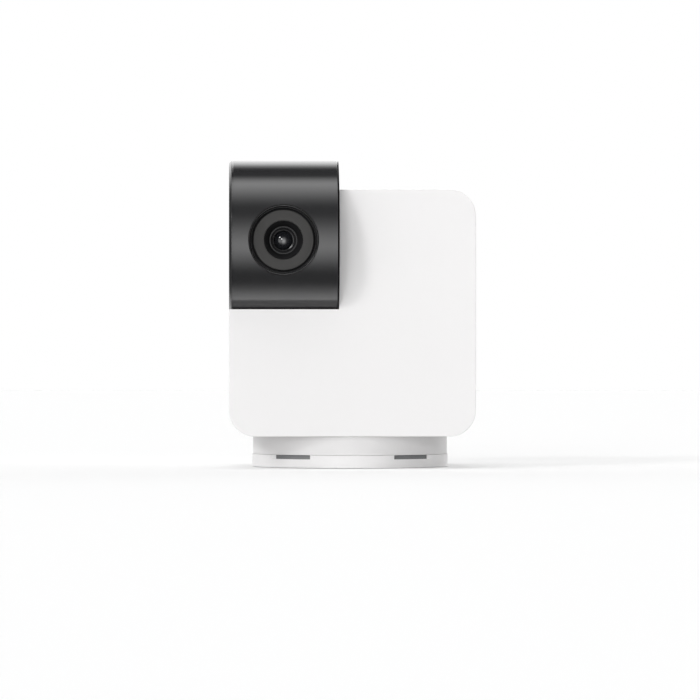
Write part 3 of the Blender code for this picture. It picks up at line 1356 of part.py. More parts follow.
# The whole camera
def build():
    foot_pad()
    base_cover()
    base_shell()
    glide_ring()
    ballast_plate()
    speaker()
    power_board()
    power_socket()
    reset_switch()
    base_screws()
    hub("pan_hub", PAN_WALL, "Z", PAN_FLANGE_RADIUS, BASE_ROOF_HEIGHT - SEAT - BODY_FLOOR)
    gear("pan_gear", PAN_GEAR_TEETH, PAN_MOTOR_ANGLE, GEAR_BORE, PAN_WALL, "Z", WHITE_ACETAL)
    clip("pan_clip", PAN_WALL, "Z", 0)

    pan = axis_point("pan_axis", (0, 0, 0))
    button = axis_point("reset_axis", (BUTTON_X, BUTTON_INNER_Y, BUTTON_Z))
    tilt = axis_point("tilt_axis", (0, TILT_Y, TILT_Z), pan)
    pan_drive = axis_point("pan_pinion_axis", PAN_PINION_PLACE, pan)
    tilt_drive = axis_point("tilt_pinion_axis", TILT_PINION_PLACE, pan)

    carry(button, reset_button())
    carry(
        pan,
        front_shell(),
        rear_shell(),
        chassis(),
        bush("pan_bush", PAN_WALL, "Z"),
        bush("tilt_bush", TILT_WALL, "X"),
        motor("pan_motor", PAN_PINION_PLACE, "Z"),
        motor("tilt_motor", TILT_PINION_PLACE, "X"),
        main_board(),
        shield_can(),
        antenna(),
        microphone(),
        *shell_screws(),
        *chassis_screws(),
        *motor_screws(),
        *board_screws(),
    )
    end_wall = HEAD_RIGHT - HEAD_END_WALL - SEAT - TILT_WALL.x
    carry(
        tilt,
        roller_front(),
        roller_half("roller_rear", 1),
        roller_end_cap(),
        hub("tilt_hub", TILT_WALL, "X", TILT_FLANGE_RADIUS, end_wall),
        gear("tilt_gear", TILT_GEAR_TEETH, TILT_MOTOR_ANGLE, GEAR_BORE, TILT_WALL, "X", WHITE_ACETAL),
        clip("tilt_clip", TILT_WALL, "X", math.pi),
        lens_bezel(),
        face_window(),
        lens_barrel(),
        front_lens(),
        rear_lens(),
        lens_holder(),
        sensor_board(),
        infrared_board(),
        infrared_led("infrared_led_1", -1),
        infrared_led("infrared_led_2", 1),
    )
    for point, name, angle, place, direction in (
        (pan_drive, "pan", PAN_MOTOR_ANGLE, PAN_PINION_PLACE, "Z"),
        (tilt_drive, "tilt", TILT_MOTOR_ANGLE, TILT_PINION_PLACE, "X"),
    ):
        phase = angle + math.pi + HALF_PINION_TOOTH
        carry(
            point,
            gear(name + "_pinion", PINION_TEETH, phase, PINION_BORE, place, direction, BRASS),
            rod(name + "_motor_shaft", SHAFT_RADIUS, GEAR_LOW, CHASSIS_LOW + SHAFT_GRIP, place, direction,
                STEEL, SMALL_STEPS),
        )


build()
bpy.context.view_layer.update()
for model_piece in [item for item in PARTS.objects if item.type == "MESH"]:
    settle(model_piece)
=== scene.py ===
"""Pet camera: the looks of its shells, roller, lens and foot, and a plain studio for them.

All lengths are in metres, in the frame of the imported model: Z is up and the lens faces -Y.
"""

import math

import bpy
from mathutils import Matrix, Vector


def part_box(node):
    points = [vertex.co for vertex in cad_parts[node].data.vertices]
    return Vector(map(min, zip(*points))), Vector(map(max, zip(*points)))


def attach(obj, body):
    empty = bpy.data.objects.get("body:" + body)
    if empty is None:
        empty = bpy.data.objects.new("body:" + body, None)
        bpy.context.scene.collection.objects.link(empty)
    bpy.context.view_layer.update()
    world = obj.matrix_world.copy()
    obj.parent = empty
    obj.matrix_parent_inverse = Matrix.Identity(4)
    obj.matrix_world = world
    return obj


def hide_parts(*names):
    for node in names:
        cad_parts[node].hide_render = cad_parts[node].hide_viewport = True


bl_info = {
    "name": "Pet camera",
    "version": (1, 0, 0),
    "blender": (4, 5, 0),
    "location": "3D View > Sidebar > Pet camera",
    "description": "Models the visible pieces of a pan and tilt pet camera and sets a studio round it",
    "category": "Object",
}

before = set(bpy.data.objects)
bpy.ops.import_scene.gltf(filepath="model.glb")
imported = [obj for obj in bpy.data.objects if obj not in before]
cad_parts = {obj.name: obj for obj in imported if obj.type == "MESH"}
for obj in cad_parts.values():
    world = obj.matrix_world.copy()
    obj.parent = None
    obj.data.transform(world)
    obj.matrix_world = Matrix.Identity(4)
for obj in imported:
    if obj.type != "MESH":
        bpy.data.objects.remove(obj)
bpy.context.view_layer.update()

MM = 0.001
FULL_TURN = 2 * math.pi
QUARTER = math.pi / 2
# Points closer than this are one point
WELD = 0.002 * MM
# Steps in a rounded corner of a turned outline
FILLET_STEPS = 6
# How far a cutter reaches past what it cuts
OVERRUN = 4 * MM
# How much larger than a material's grain its patches of shine are
PATCHES = 40
# Where a sound slot's cloth starts beside the front, and how far it goes round the foot
CLOTH_START = math.radians(24)
CLOTH_SWEEP = math.radians(28)

# Sides of the turned pieces
ROLLER_SIDES = 720
FOOT_SIDES = 256
BEZEL_SIDES = 192
BARREL_SIDES = 128
GLASS_SIDES = 96
SMALL_SIDES = 48

# The body's holes, screws and vents
HUB_HOLE = 8.3 * MM
PINHOLE = 0.5 * MM
PINHOLE_X = 21.35 * MM
PINHOLE_Y = -5 * MM
SCREW_PLACE = 32.5 * MM
SCREW_TUBE = 3.2 * MM
SCREW_WELL = 2.3 * MM
SCREW_HOLE = 1.1 * MM
TUBE_START = 14.5 * MM
WELL_START = 20 * MM
VENT_REACH = 12 * MM
VENT_RISE = 0.7 * MM
VENT_PITCH = 3.2 * MM
VENT_END = 0.68 * MM
# A black disc on the trough's wall that paints shade into the gap beside the roller
PAINTED_SHADE_DISC = 0.15 * MM
PAINTED_SHADE_DISC_HOLE = 8.6 * MM

# Heights of the lens's pieces in front of the tilt axis
BEZEL_BACK = 19.0 * MM
BEZEL_FLANGE = 20.2 * MM
GROOVE_FLOOR = 20.9 * MM
GASKET_TOP = 21.15 * MM
BEZEL_SLOPE = 22.0 * MM
BEZEL_LIP = 22.35 * MM
PLATE_TOP = 22.4 * MM
BEZEL_EDGE = 23.0 * MM
HOOP_TOP = 23.35 * MM
GLASS_TOP = 18.8 * MM
GLASS_BACK = 16.4 * MM
BARREL_BACK = 9.0 * MM

# The foot's plate, bearing, pad and inlet
PLATE_BOTTOM = 1.3 * MM
PLATE_INSIDE = 2.5 * MM
PAD_RADIUS = 27 * MM
HUB_SEAT = 6.7 * MM
TRACK_INNER = 19.7 * MM
TRACK_OUTER = 23.3 * MM
COLLAR = 24.3 * MM
UPPER_WALL = 1.6 * MM
INLET_FRONT = 26 * MM
INLET_BACK = 36 * MM
TONGUE_REACH = 3.35 * MM
TONGUE_RISE = 0.35 * MM
BUTTON = 1.3 * MM
BUTTON_FLANGE = 1.7 * MM
BUTTON_HOLE = 1.5 * MM

# The axis across which a round piece is drawn, and the one that it is spun about
DIRECTIONS = {
    "X": (Vector((0, 0, 1)), Vector((1, 0, 0))),
    "Y": (Vector((1, 0, 0)), Vector((0, 1, 0))),
    "-Y": (Vector((1, 0, 0)), Vector((0, -1, 0))),
    "Z": (Vector((1, 0, 0)), Vector((0, 0, 1))),
}


# Sizes and colours
def linear(text):
    """An sRGB colour, written as six hex digits, as linear red, green, blue and alpha."""
    shares = [int(text[place:place + 2], 16) / 255 for place in (0, 2, 4)]
    return [share / 12.92 if share <= 0.04045 else ((share + 0.055) / 1.055) ** 2.4 for share in shares] + [1]


def length(name, description, millimetres):
    return bpy.props.FloatProperty(
        name=name, description=description, default=millimetres * MM, unit="LENGTH", subtype="DISTANCE",
        precision=5,
    )


def tint(name, description, text):
    return bpy.props.FloatVectorProperty(
        name=name, description=description, default=linear(text), size=4, subtype="COLOR", min=0, max=1
    )


class BodySizes(bpy.types.PropertyGroup):
    width: length("Width", "Across the body, from side to side", 79.0)
    height: length("Height", "Of the body without the foot", 79.0)
    depth: length("Depth", "From the flat front to the back", 66.0)
    bottom: length("Bottom", "Height of the body's underside above the table", 10.3)
    corner: length("Corner", "Radius of the rounded square's corners", 8.4)
    front_edge: length("Front edge", "Radius of the front's rim", 0.25)
    back_edge: length("Back edge", "Radius of the back's rim", 6.0)
    wall: length("Wall", "Thickness of the moulding", 2.0)
    seam: length("Seam", "Where the front shell ends, from the pan axis", 16.0)
    seam_gap: length("Seam gap", "Width of the line between the shells", 0.2)
    crease: length("Crease", "Radius that breaks the sharp edges of the moulding", 0.15)


class RollerSizes(bpy.types.PropertyGroup):
    radius: length("Radius", "Of the roller", 26.0)
    length: length("Length", "From its left end to its right end", 34.7)
    axis_y: length("Axis depth", "Of the tilt axis, from the pan axis", -18.2)
    axis_z: length("Axis height", "Of the tilt axis above the table", 73.0)
    wall: length("Wall", "Thickness of the halves", 1.8)
    cap: length("End cap", "Thickness of the disc at the left end", 1.2)
    cap_edge: length("Cap edge", "Width of the chamfer round the end cap", 0.8)
    end_edge: length("Right edge", "Radius of the right end's rim", 0.12)
    seam_gap: length("Seam gap", "Width of the line between cap and halves", 0.1)
    gap: length("Gap", "Between the roller and its trough", 0.5)


class LensSizes(bpy.types.PropertyGroup):
    opening: length("Opening", "Radius of the round hole in the roller", 11.25)
    plate: length("Plate", "Radius of the satin plate round the glass", 9.6)
    groove: length("Groove", "Outer radius of the dark groove round the plate", 10.3)
    recess: length("Recess", "Radius of the recess in the plate", 6.2)
    outer_ring: length("Outer ring", "Radius of the first step round the glass", 4.45)
    inner_ring: length("Inner ring", "Radius of the second step round the glass", 3.4)
    glass: length("Glass", "Radius of the domed front lens", 3.05)
    curve: length("Curve", "Radius of the dome's curve", 3.8)


class FootSizes(bpy.types.PropertyGroup):
    radius: length("Radius", "Of the foot's lower ring", 31.9)
    step: length("Step", "How much narrower the upper part is", 0.25)
    height: length("Height", "Of the foot", 10.0)
    seam: length("Seam", "Height of the line round the foot", 4.2)
    seam_gap: length("Seam gap", "Width of the line round the foot", 0.05)
    rim: length("Rim", "Height of the upper part where it meets the body", 10.3)
    wall: length("Wall", "Thickness of the foot's wall", 2.2)
    slot: length("Slot", "Height of the sound slots", 1.3)
    slot_start: length("Slot start", "From the middle to the inner end of a slot", 13.5)
    slot_back: length("Slot back", "How far in front of the pan axis the slots end", 18.9)


class Finishes(bpy.types.PropertyGroup):
    white: tint("White", "Of the body and the foot's ring", "EFEEEE")
    # The neck's greyer white is painted shade for the shadow that the body casts on the foot's upper part
    neck_painted_shade: tint("Neck", "Of the foot's upper part, a shade greyer", "E5E4E4")
    black: tint("Black", "Of the polished roller", "2E2E2F")
    plate: tint("Plate", "Of the satin plate round the glass", "2C2B2A")
    dark: tint("Dark", "Of the barrel and the small black mouldings", "161617")


class StageSizes(bpy.types.PropertyGroup):
    distance: length("Distance", "Of the camera from the pan axis", 1600.0)
    height: length("Height", "Of the camera above the table", 38.0)
    azimuth: bpy.props.FloatProperty(
        name="Azimuth", description="How far the camera stands to the right", default=math.radians(-1.4),
        unit="ROTATION", subtype="ANGLE",
    )
    focal_length: bpy.props.FloatProperty(
        name="Focal length", description="In millimetres on a 36 mm sensor", default=252.0, unit="CAMERA"
    )
    floor: length("Floor", "Side of the square floor", 6000.0)


# Modelling
def clear_selection():
    if bpy.context.mode != "OBJECT":
        bpy.ops.object.mode_set(mode="OBJECT")
    bpy.ops.object.select_all(action="DESELECT")


def choose(piece):
    clear_selection()
    bpy.context.view_layer.objects.active = piece
    piece.select_set(True)


def settle(name):
    """Names the primitive that was just added and puts its place and turn into its mesh."""
    piece = bpy.context.object
    piece.name = name
    piece.data.name = name
    bpy.ops.object.transform_apply(location=True, rotation=True, scale=True)
    return piece


def box(name, low, high):
    clear_selection()
    low = Vector(low)
    high = Vector(high)
    bpy.ops.mesh.primitive_cube_add(size=1, location=(low + high) / 2, scale=high - low)
    return settle(name)


def rod(name, radius, start, end, steps=256):
    """A plain cylinder between two points, used to cut with."""
    clear_selection()
    start = Vector(start)
    end = Vector(end)
    turn = (end - start).to_track_quat("Z", "Y").to_euler()
    bpy.ops.mesh.primitive_cylinder_add(
        vertices=steps, radius=radius, depth=(end - start).length, location=(start + end) / 2, rotation=turn
    )
    return settle(name)


def pick(piece, kind, wanted):
    """Selects the points, edges or faces that pass a test of their places, and stays in edit mode."""
    choose(piece)
    bpy.ops.object.mode_set(mode="EDIT")
    bpy.ops.mesh.select_mode(type=kind)
    bpy.ops.mesh.select_all(action="DESELECT")
    bpy.ops.object.mode_set(mode="OBJECT")
    mesh = piece.data
    if kind == "VERT":
        for point in mesh.vertices:
            point.select = wanted(point.co)
    elif kind == "EDGE":
        for edge in mesh.edges:
            edge.select = wanted(*(mesh.vertices[end].co for end in edge.vertices))
    else:
        for face in mesh.polygons:
            face.select = wanted(face.center, face.normal)
    bpy.ops.object.mode_set(mode="EDIT")


def round_edges(piece, wanted, radius, steps):
    pick(piece, "EDGE", wanted)
    bpy.ops.mesh.bevel(offset=radius, offset_type="OFFSET", segments=steps, profile=0.5, affect="EDGES")
    bpy.ops.object.mode_set(mode="OBJECT")


def outline(*corners, closed=False):
    """The points of an outline. A corner is a radius, a height and, where it is rounded, by how much."""
    points = []
    for number, corner in enumerate(corners):
        here = Vector(corner[:2])
        if len(corner) == 2:
            points.append(here)
            continue
        back = (Vector(corners[number - 1][:2]) - here).normalized()
        onward = (Vector(corners[(number + 1) % len(corners)][:2]) - here).normalized()
        half = back.angle(onward) / 2
        centre = here + (back + onward).normalized() * corner[2] / math.sin(half)
        first = here + back * corner[2] / math.tan(half) - centre
        last = here + onward * corner[2] / math.tan(half) - centre
        swing = first.angle_signed(last)
        for step in range(FILLET_STEPS + 1):
            turn = Matrix.Rotation(-swing * step / FILLET_STEPS, 2)
            points.append(centre + turn @ first)
    return points + points[:1] if closed else points


def turned(name, points, place, direction, steps, sweep=FULL_TURN):
    """A round piece: its outline is drawn point by point and spun about its axis."""
    across, along = DIRECTIONS[direction]
    place = Vector(place)
    path = [place + across * radius + along * height for radius, height in points]
    clear_selection()
    bpy.ops.mesh.primitive_plane_add(size=MM, location=path[0])
    piece = settle(name)
    bpy.ops.object.mode_set(mode="EDIT")
    bpy.ops.mesh.select_mode(type="VERT")
    bpy.ops.mesh.select_all(action="SELECT")
    bpy.ops.mesh.merge(type="CENTER")
    for start, end in zip(path, path[1:]):
        bpy.ops.mesh.extrude_region_move(TRANSFORM_OT_translate={"value": end - start})
    bpy.ops.mesh.select_all(action="SELECT")
    bpy.ops.mesh.spin(steps=steps, angle=sweep, center=place, axis=along)
    bpy.ops.mesh.select_all(action="SELECT")
    bpy.ops.mesh.remove_doubles(threshold=WELD)
    if sweep != FULL_TURN:
        bpy.ops.mesh.fill_holes(sides=len(points))
        bpy.ops.mesh.select_all(action="SELECT")
    bpy.ops.mesh.normals_make_consistent(inside=False)
    bpy.ops.object.mode_set(mode="OBJECT")
    return piece


def combine(piece, other, operation):
    choose(piece)
    bpy.ops.object.modifier_add(type="BOOLEAN")
    modifier = piece.modifiers[-1]
    modifier.operation = operation
    modifier.solver = "EXACT"
    modifier.object = other
    bpy.ops.object.modifier_apply(modifier=modifier.name)
    bpy.data.objects.remove(other, do_unlink=True)


def cut(piece, *cutters):
    for cutter in cutters:
        combine(piece, cutter, "DIFFERENCE")


def join(piece, *others):
    for other in others:
        combine(piece, other, "UNION")


def break_edges(piece, radius, angle=40):
    """Takes the sharpness off the edges that meet at more than an angle."""
    choose(piece)
    bpy.ops.object.modifier_add(type="BEVEL")
    modifier = piece.modifiers[-1]
    modifier.limit_method = "ANGLE"
    modifier.angle_limit = math.radians(angle)
    modifier.width = radius
    modifier.segments = 2
    modifier.harden_normals = False
    bpy.ops.object.modifier_apply(modifier=modifier.name)


def finish(piece, material, body, slot, *nodes, smooth=30, weighted=False):
    """Shades a piece, gives it its material and body, and lets it stand for its nodes."""
    choose(piece)
    bpy.ops.object.shade_smooth_by_angle(angle=math.radians(smooth))
    if weighted:
        bpy.ops.object.modifier_add(type="WEIGHTED_NORMAL")
        modifier = piece.modifiers[-1]
        modifier.keep_sharp = True
        bpy.ops.object.modifier_apply(modifier=modifier.name)
    piece.data.materials.clear()
    piece.data.materials.append(material)
    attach(piece, body)
    if nodes:
        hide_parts(*nodes)


# Materials
def add_node(tree, kind, links, **settings):
    """Adds a node. Each of its inputs gets a number, a colour or the socket that feeds it."""
    node = tree.nodes.new(kind)
    for name, value in settings.items():
        setattr(node, name, value)
    for name, value in links.items():
        if isinstance(value, bpy.types.NodeSocket):
            tree.links.new(value, node.inputs[name])
        else:
            node.inputs[name].default_value = value
    return node


def moulded(name, base, roughness, grain, relief, ior=1.5, metallic=0.0, spread=0.04, shine=0.5):
    """A material with a fine grain in its surface, and with patches that shine a little more or less."""
    material = bpy.data.materials.new(name)
    material.use_nodes = True
    tree = material.node_tree
    shader = tree.nodes["Principled BSDF"]
    shader.inputs["Base Color"].default_value = base
    shader.inputs["IOR"].default_value = ior
    shader.inputs["Metallic"].default_value = metallic
    shader.inputs["Specular IOR Level"].default_value = shine
    place = add_node(tree, "ShaderNodeTexCoord", {}).outputs["Object"]
    patches = add_node(
        tree, "ShaderNodeTexNoise", {"Vector": place, "Scale": 1 / (PATCHES * grain), "Detail": 1.0}
    )
    sheen = add_node(
        tree, "ShaderNodeMapRange",
        {"Value": patches.outputs["Fac"], "To Min": roughness - spread, "To Max": roughness + spread},
    )
    tree.links.new(sheen.outputs["Result"], shader.inputs["Roughness"])
    pits = add_node(tree, "ShaderNodeTexNoise", {"Vector": place, "Scale": 1 / grain, "Detail": 2.0})
    bump = add_node(
        tree, "ShaderNodeBump", {"Height": pits.outputs["Fac"], "Strength": 1.0, "Distance": relief}
    )
    tree.links.new(bump.outputs["Normal"], shader.inputs["Normal"])
    return material


def finishes():
    """The materials, by the names of the record's slots."""
    colours = bpy.context.scene.pet_camera_finishes
    made = {}
    # ABS from a spark-eroded mould: an even soft white with hardly any shine
    made["white_shell"] = moulded("white_abs", colours.white, 0.5, 0.4 * MM, 0.006 * MM, ior=1.53)
    # The same ABS painted a shade greyer for the foot's upper part: painted shade, standing in for the shadow
    # under the body's overhang
    moulded("white_abs_with_painted_shade", colours.neck_painted_shade, 0.5, 0.4 * MM, 0.006 * MM, ior=1.53)
    # Acrylic blend from a polished mould: deep black with clear, slightly soft reflections
    made["gloss_black"] = moulded(
        "polished_acrylic_blend", colours.black, 0.12, 0.5 * MM, 0.0, ior=1.45, spread=0.01
    )
    # Polycarbonate from a finely blasted mould: dark, with thin lips that catch light
    made["satin_black"] = moulded(
        "satin_polycarbonate", linear("1F1F20"), 0.3, 0.2 * MM, 0.002 * MM, shine=0.25
    )
    # Acrylic with a satin front, dyed so that only infrared passes: an even warm dark grey
    made["smoked_window"] = moulded(
        "satin_acrylic", colours.plate, 0.45, 0.2 * MM, 0.002 * MM, ior=1.49, shine=0.3
    )
    # Lanthanum flint glass over a black barrel: nearly black, with tight bright highlights
    made["lens_glass"] = moulded(
        "lanthanum_glass", linear("1F2023"), 0.03, 1.0 * MM, 0.0, ior=1.7, spread=0.005
    )
    # Glass-filled nylon: fine matt black
    made["black_plastic"] = moulded("matt_nylon", colours.dark, 0.5, 0.2 * MM, 0.004 * MM)
    # Light-trap paint inside the barrel: no shine at all, so that it stays black
    moulded("light_trap_paint", linear("202021"), 0.7, 0.2 * MM, 0.004 * MM, shine=0.06)
    # Natural acetal: milky white with a waxy sheen
    made["white_acetal"] = moulded("acetal", linear("E6E4DC"), 0.35, 0.6 * MM, 0.002 * MM, ior=1.48)
    # Grey ABS from a spark-eroded mould: an even, matt mid grey
    made["grey_plastic"] = moulded("grey_abs", linear("8F9193"), 0.5, 0.4 * MM, 0.004 * MM)
    # Woven acoustic cloth: a dull grey weave, three times too coarse, so that it can be seen
    moulded("acoustic_cloth", linear("858687"), 0.9, 0.3 * MM, 0.03 * MM, shine=0.1)
    # Aluminium, turned and anodised black: its fine lips shine
    moulded("black_anodised_aluminium", linear("1A1A1B"), 0.22, 0.2 * MM, 0.0)
    # The same with a sealed, duller coat
    moulded("dull_anodised_aluminium", linear("1A1A1B"), 0.3, 0.2 * MM, 0.0, shine=0.25)
    # Tinned and drawn steel: bright, with slightly blurred reflections
    made["steel"] = moulded("bright_steel", linear("C9C9CB"), 0.28, 0.3 * MM, 0.002 * MM, metallic=1.0)
    # Turned brass: a yellow metal, slightly blurred by its tool marks
    made["brass"] = moulded("turned_brass", linear("DCBC7B"), 0.3, 0.3 * MM, 0.002 * MM, metallic=1.0)
    # Glass-fibre board under solder resist: deep green with a smooth, waxy shine
    made["circuit_board"] = moulded("solder_resist", linear("1F6B45"), 0.35, 0.5 * MM, 0.003 * MM)
    # Silicone rubber: dull dark grey
    made["rubber"] = moulded("silicone_rubber", linear("3A3A3A"), 0.75, 0.5 * MM, 0.006 * MM, ior=1.41)
    # Cast epoxy: smoky red-brown with a clear shine
    made["led_resin"] = moulded("epoxy", linear("5A4046"), 0.12, 0.5 * MM, 0.0)
    return made


# Operators
class PETCAM_OT_inside(bpy.types.Operator):
    """Makes the materials and gives each piece of the frame the one that its slot names."""

    bl_idname = "pet_camera.inside"
    bl_label = "Dress the inner pieces"

    def execute(self, context):
        made = finishes()
        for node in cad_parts.values():
            for slot in node.material_slots:
                slot.material = made[slot.material.name.split(".")[0]]
        return {"FINISHED"}


def finish_named(name):
    return bpy.data.materials[name]


def body_block(name, inset, front, back, front_edge=0.0, back_edge=0.0):
    """A block that follows the body's rounded square, at an inset from it."""
    sizes = bpy.context.scene.pet_camera_body
    half = sizes.width / 2 - inset
    piece = box(name, (-half, front, sizes.bottom + inset), (half, back, sizes.bottom + sizes.height - inset))
    round_edges(piece, lambda a, b: abs(a.y - b.y) > (back - front) / 2, sizes.corner - inset, 24)
    for level, radius in ((front, front_edge), (back, back_edge)):
        if radius:
            round_edges(piece, lambda a, b: max(abs(a.y - level), abs(b.y - level)) < WELD, radius, 8)
    return piece


def tilt_rod(name, radius, left, right, steps=384):
    """A cylinder on the tilt axis, used to cut with."""
    roller = bpy.context.scene.pet_camera_roller
    start = (left, roller.axis_y, roller.axis_z)
    end = (right, roller.axis_y, roller.axis_z)
    return rod(name, radius, start, end, steps)


class PETCAM_OT_body(bpy.types.Operator):
    """Models the front shell with the roller's trough, and the rear shell with its vents and screw wells."""

    bl_idname = "pet_camera.body"
    bl_label = "Model the body"

    def execute(self, context):
        sizes = context.scene.pet_camera_body
        roller = context.scene.pet_camera_roller
        white = finish_named("white_abs")
        front = -sizes.depth / 2
        back = sizes.depth / 2
        left = -sizes.width / 2
        top = sizes.bottom + sizes.height
        notch = left + roller.length + roller.gap
        shell = body_block("body_front", 0, front, back, sizes.front_edge, sizes.back_edge)
        hollow = body_block("front_hollow", sizes.wall, front + sizes.wall, back)
        clearance = roller.radius + roller.gap
        inner_end = notch + sizes.wall
        cut(hollow, tilt_rod("trough_wall", clearance + roller.wall, left - OVERRUN, inner_end))
        cut(
            shell,
            hollow,
            tilt_rod("trough", clearance, left - OVERRUN, notch),
            box("front_end", (left - OVERRUN, sizes.seam, 0),
                (-left + OVERRUN, back + OVERRUN, top + OVERRUN)),
            tilt_rod("bush_hole", HUB_HOLE, notch - OVERRUN, inner_end + OVERRUN, 96),
            rod("hub_hole", HUB_HOLE, (0, 0, sizes.bottom - OVERRUN),
                (0, 0, sizes.bottom + sizes.wall + OVERRUN), 96),
            rod("pinhole", PINHOLE, (PINHOLE_X, PINHOLE_Y, top - OVERRUN),
                (PINHOLE_X, PINHOLE_Y, top + OVERRUN), 32),
        )
        break_edges(shell, sizes.crease)
        finish(shell, white, "body", "white_shell", "front_shell", weighted=True)

        rear = body_block("body_rear", 0, front, back, sizes.front_edge, sizes.back_edge)
        start = sizes.seam + sizes.seam_gap
        far_end = (-left + OVERRUN, start, top + OVERRUN)
        cut(rear, box("rear_end", (left - OVERRUN, front - OVERRUN, 0), far_end))
        # A lip on the rear shell reaches into the front shell and centres it
        join(rear, body_block("lip", sizes.wall + 0.2 * MM, start - 1.7 * MM, start + MM))
        cut(
            rear,
            body_block("rear_hollow", sizes.wall, start + 2 * MM, back - sizes.wall, 0, 4 * MM),
            body_block("lip_hollow", sizes.wall + 1.2 * MM, front, start + 2.2 * MM),
        )
        middle = sizes.bottom + sizes.height / 2
        along = Vector((0, 1, 0))
        for side in (-1, 1):
            place = Vector((side * SCREW_PLACE, 0, middle + side * SCREW_PLACE))
            tube_end = place + along * (back - MM)
            join(rear, rod("screw_tube", SCREW_TUBE, place + along * TUBE_START, tube_end, 64))
            cut(
                rear,
                rod("screw_well", SCREW_WELL, place + along * WELL_START,
                    place + along * (back + OVERRUN), 64),
                rod("screw_hole", SCREW_HOLE, place + along * (start - OVERRUN), place + along * back, 32),
            )
        for number in range(-3, 4):
            height = middle + number * VENT_PITCH
            vent = box("vent", (-VENT_REACH, back - OVERRUN, height - VENT_RISE),
                       (VENT_REACH, back + OVERRUN, height + VENT_RISE))
            round_edges(vent, lambda a, b: abs(a.y - b.y) > OVERRUN, VENT_END, 6)
            cut(rear, vent)
        break_edges(rear, sizes.crease)
        finish(rear, white, "body", "white_shell", "rear_shell", weighted=True)

        # A thin black nylon disc on the trough's wall is painted shade: it keeps the gap beside the roller
        # dark, where the trough's wall lies in shade
        rim = roller.radius - PAINTED_SHADE_DISC
        painted_shade_disc = turned(
            "gap_painted_shade_disc",
            outline((PAINTED_SHADE_DISC_HOLE, notch - PAINTED_SHADE_DISC), (rim, notch - PAINTED_SHADE_DISC), (rim, notch), (PAINTED_SHADE_DISC_HOLE, notch),
                    closed=True),
            (0, roller.axis_y, roller.axis_z), "X", FOOT_SIDES,
        )
        finish(painted_shade_disc, finish_named("matt_nylon"), "body", "black_plastic")
        return {"FINISHED"}


class PETCAM_OT_roller(bpy.types.Operator):
    """Models the polished roller: two half shells and the disc at its left end."""

    bl_idname = "pet_camera.roller"
    bl_label = "Model the roller"

    def execute(self, context):
        sizes = context.scene.pet_camera_roller
        lens = context.scene.pet_camera_lens
        black = finish_named("polished_acrylic_blend")
        left = -context.scene.pet_camera_body.width / 2
        right = left + sizes.length
        start = left + sizes.cap + sizes.seam_gap
        inner = sizes.radius - sizes.wall
        place = (0, sizes.axis_y, sizes.axis_z)
        end_wall = right - 2 * MM
        shell = outline(
            (sizes.radius, start), (sizes.radius, right, sizes.end_edge), (HUB_SEAT, right),
            (HUB_SEAT, end_wall), (inner, end_wall), (inner, start), closed=True,
        )
        reach = sizes.radius + OVERRUN
        halves = (("roller_front_half", "roller_front", -1), ("roller_rear_half", "roller_rear", 1))
        for name, node, side in halves:
            half = turned(name, shell, place, "X", ROLLER_SIDES)
            split = sizes.axis_y + side * sizes.seam_gap / 2
            far = sizes.axis_y - side * reach
            low = (left - OVERRUN, min(split, far), sizes.axis_z - reach)
            high = (right + OVERRUN, max(split, far), sizes.axis_z + reach)
            cut(half, box("other_half", low, high))
            if side < 0:
                middle = left + sizes.length / 2
                cut(half, rod("lens_hole", lens.opening, (middle, sizes.axis_y - reach, sizes.axis_z),
                              (middle, sizes.axis_y - sizes.radius / 2, sizes.axis_z)))
                break_edges(half, 0.09 * MM)
            finish(half, black, "head", "gloss_black", node, smooth=25, weighted=True)
        inside = left + sizes.cap
        # The cap's spigot sits inside the halves
        spigot = inner - 0.3 * MM
        bore = spigot - 1.7 * MM
        depth = inside + 3 * MM
        cap = turned(
            "roller_cap",
            outline(
                (0, inside), (bore, inside), (bore, depth), (spigot, depth), (spigot, inside),
                (sizes.radius, inside), (sizes.radius, left + sizes.cap_edge, 0.1 * MM),
                (sizes.radius - sizes.cap_edge, left, 0.1 * MM), (0, left),
            ),
            place, "X", ROLLER_SIDES,
        )
        finish(cap, black, "head", "gloss_black", "roller_end_cap", smooth=25, weighted=True)
        return {"FINISHED"}


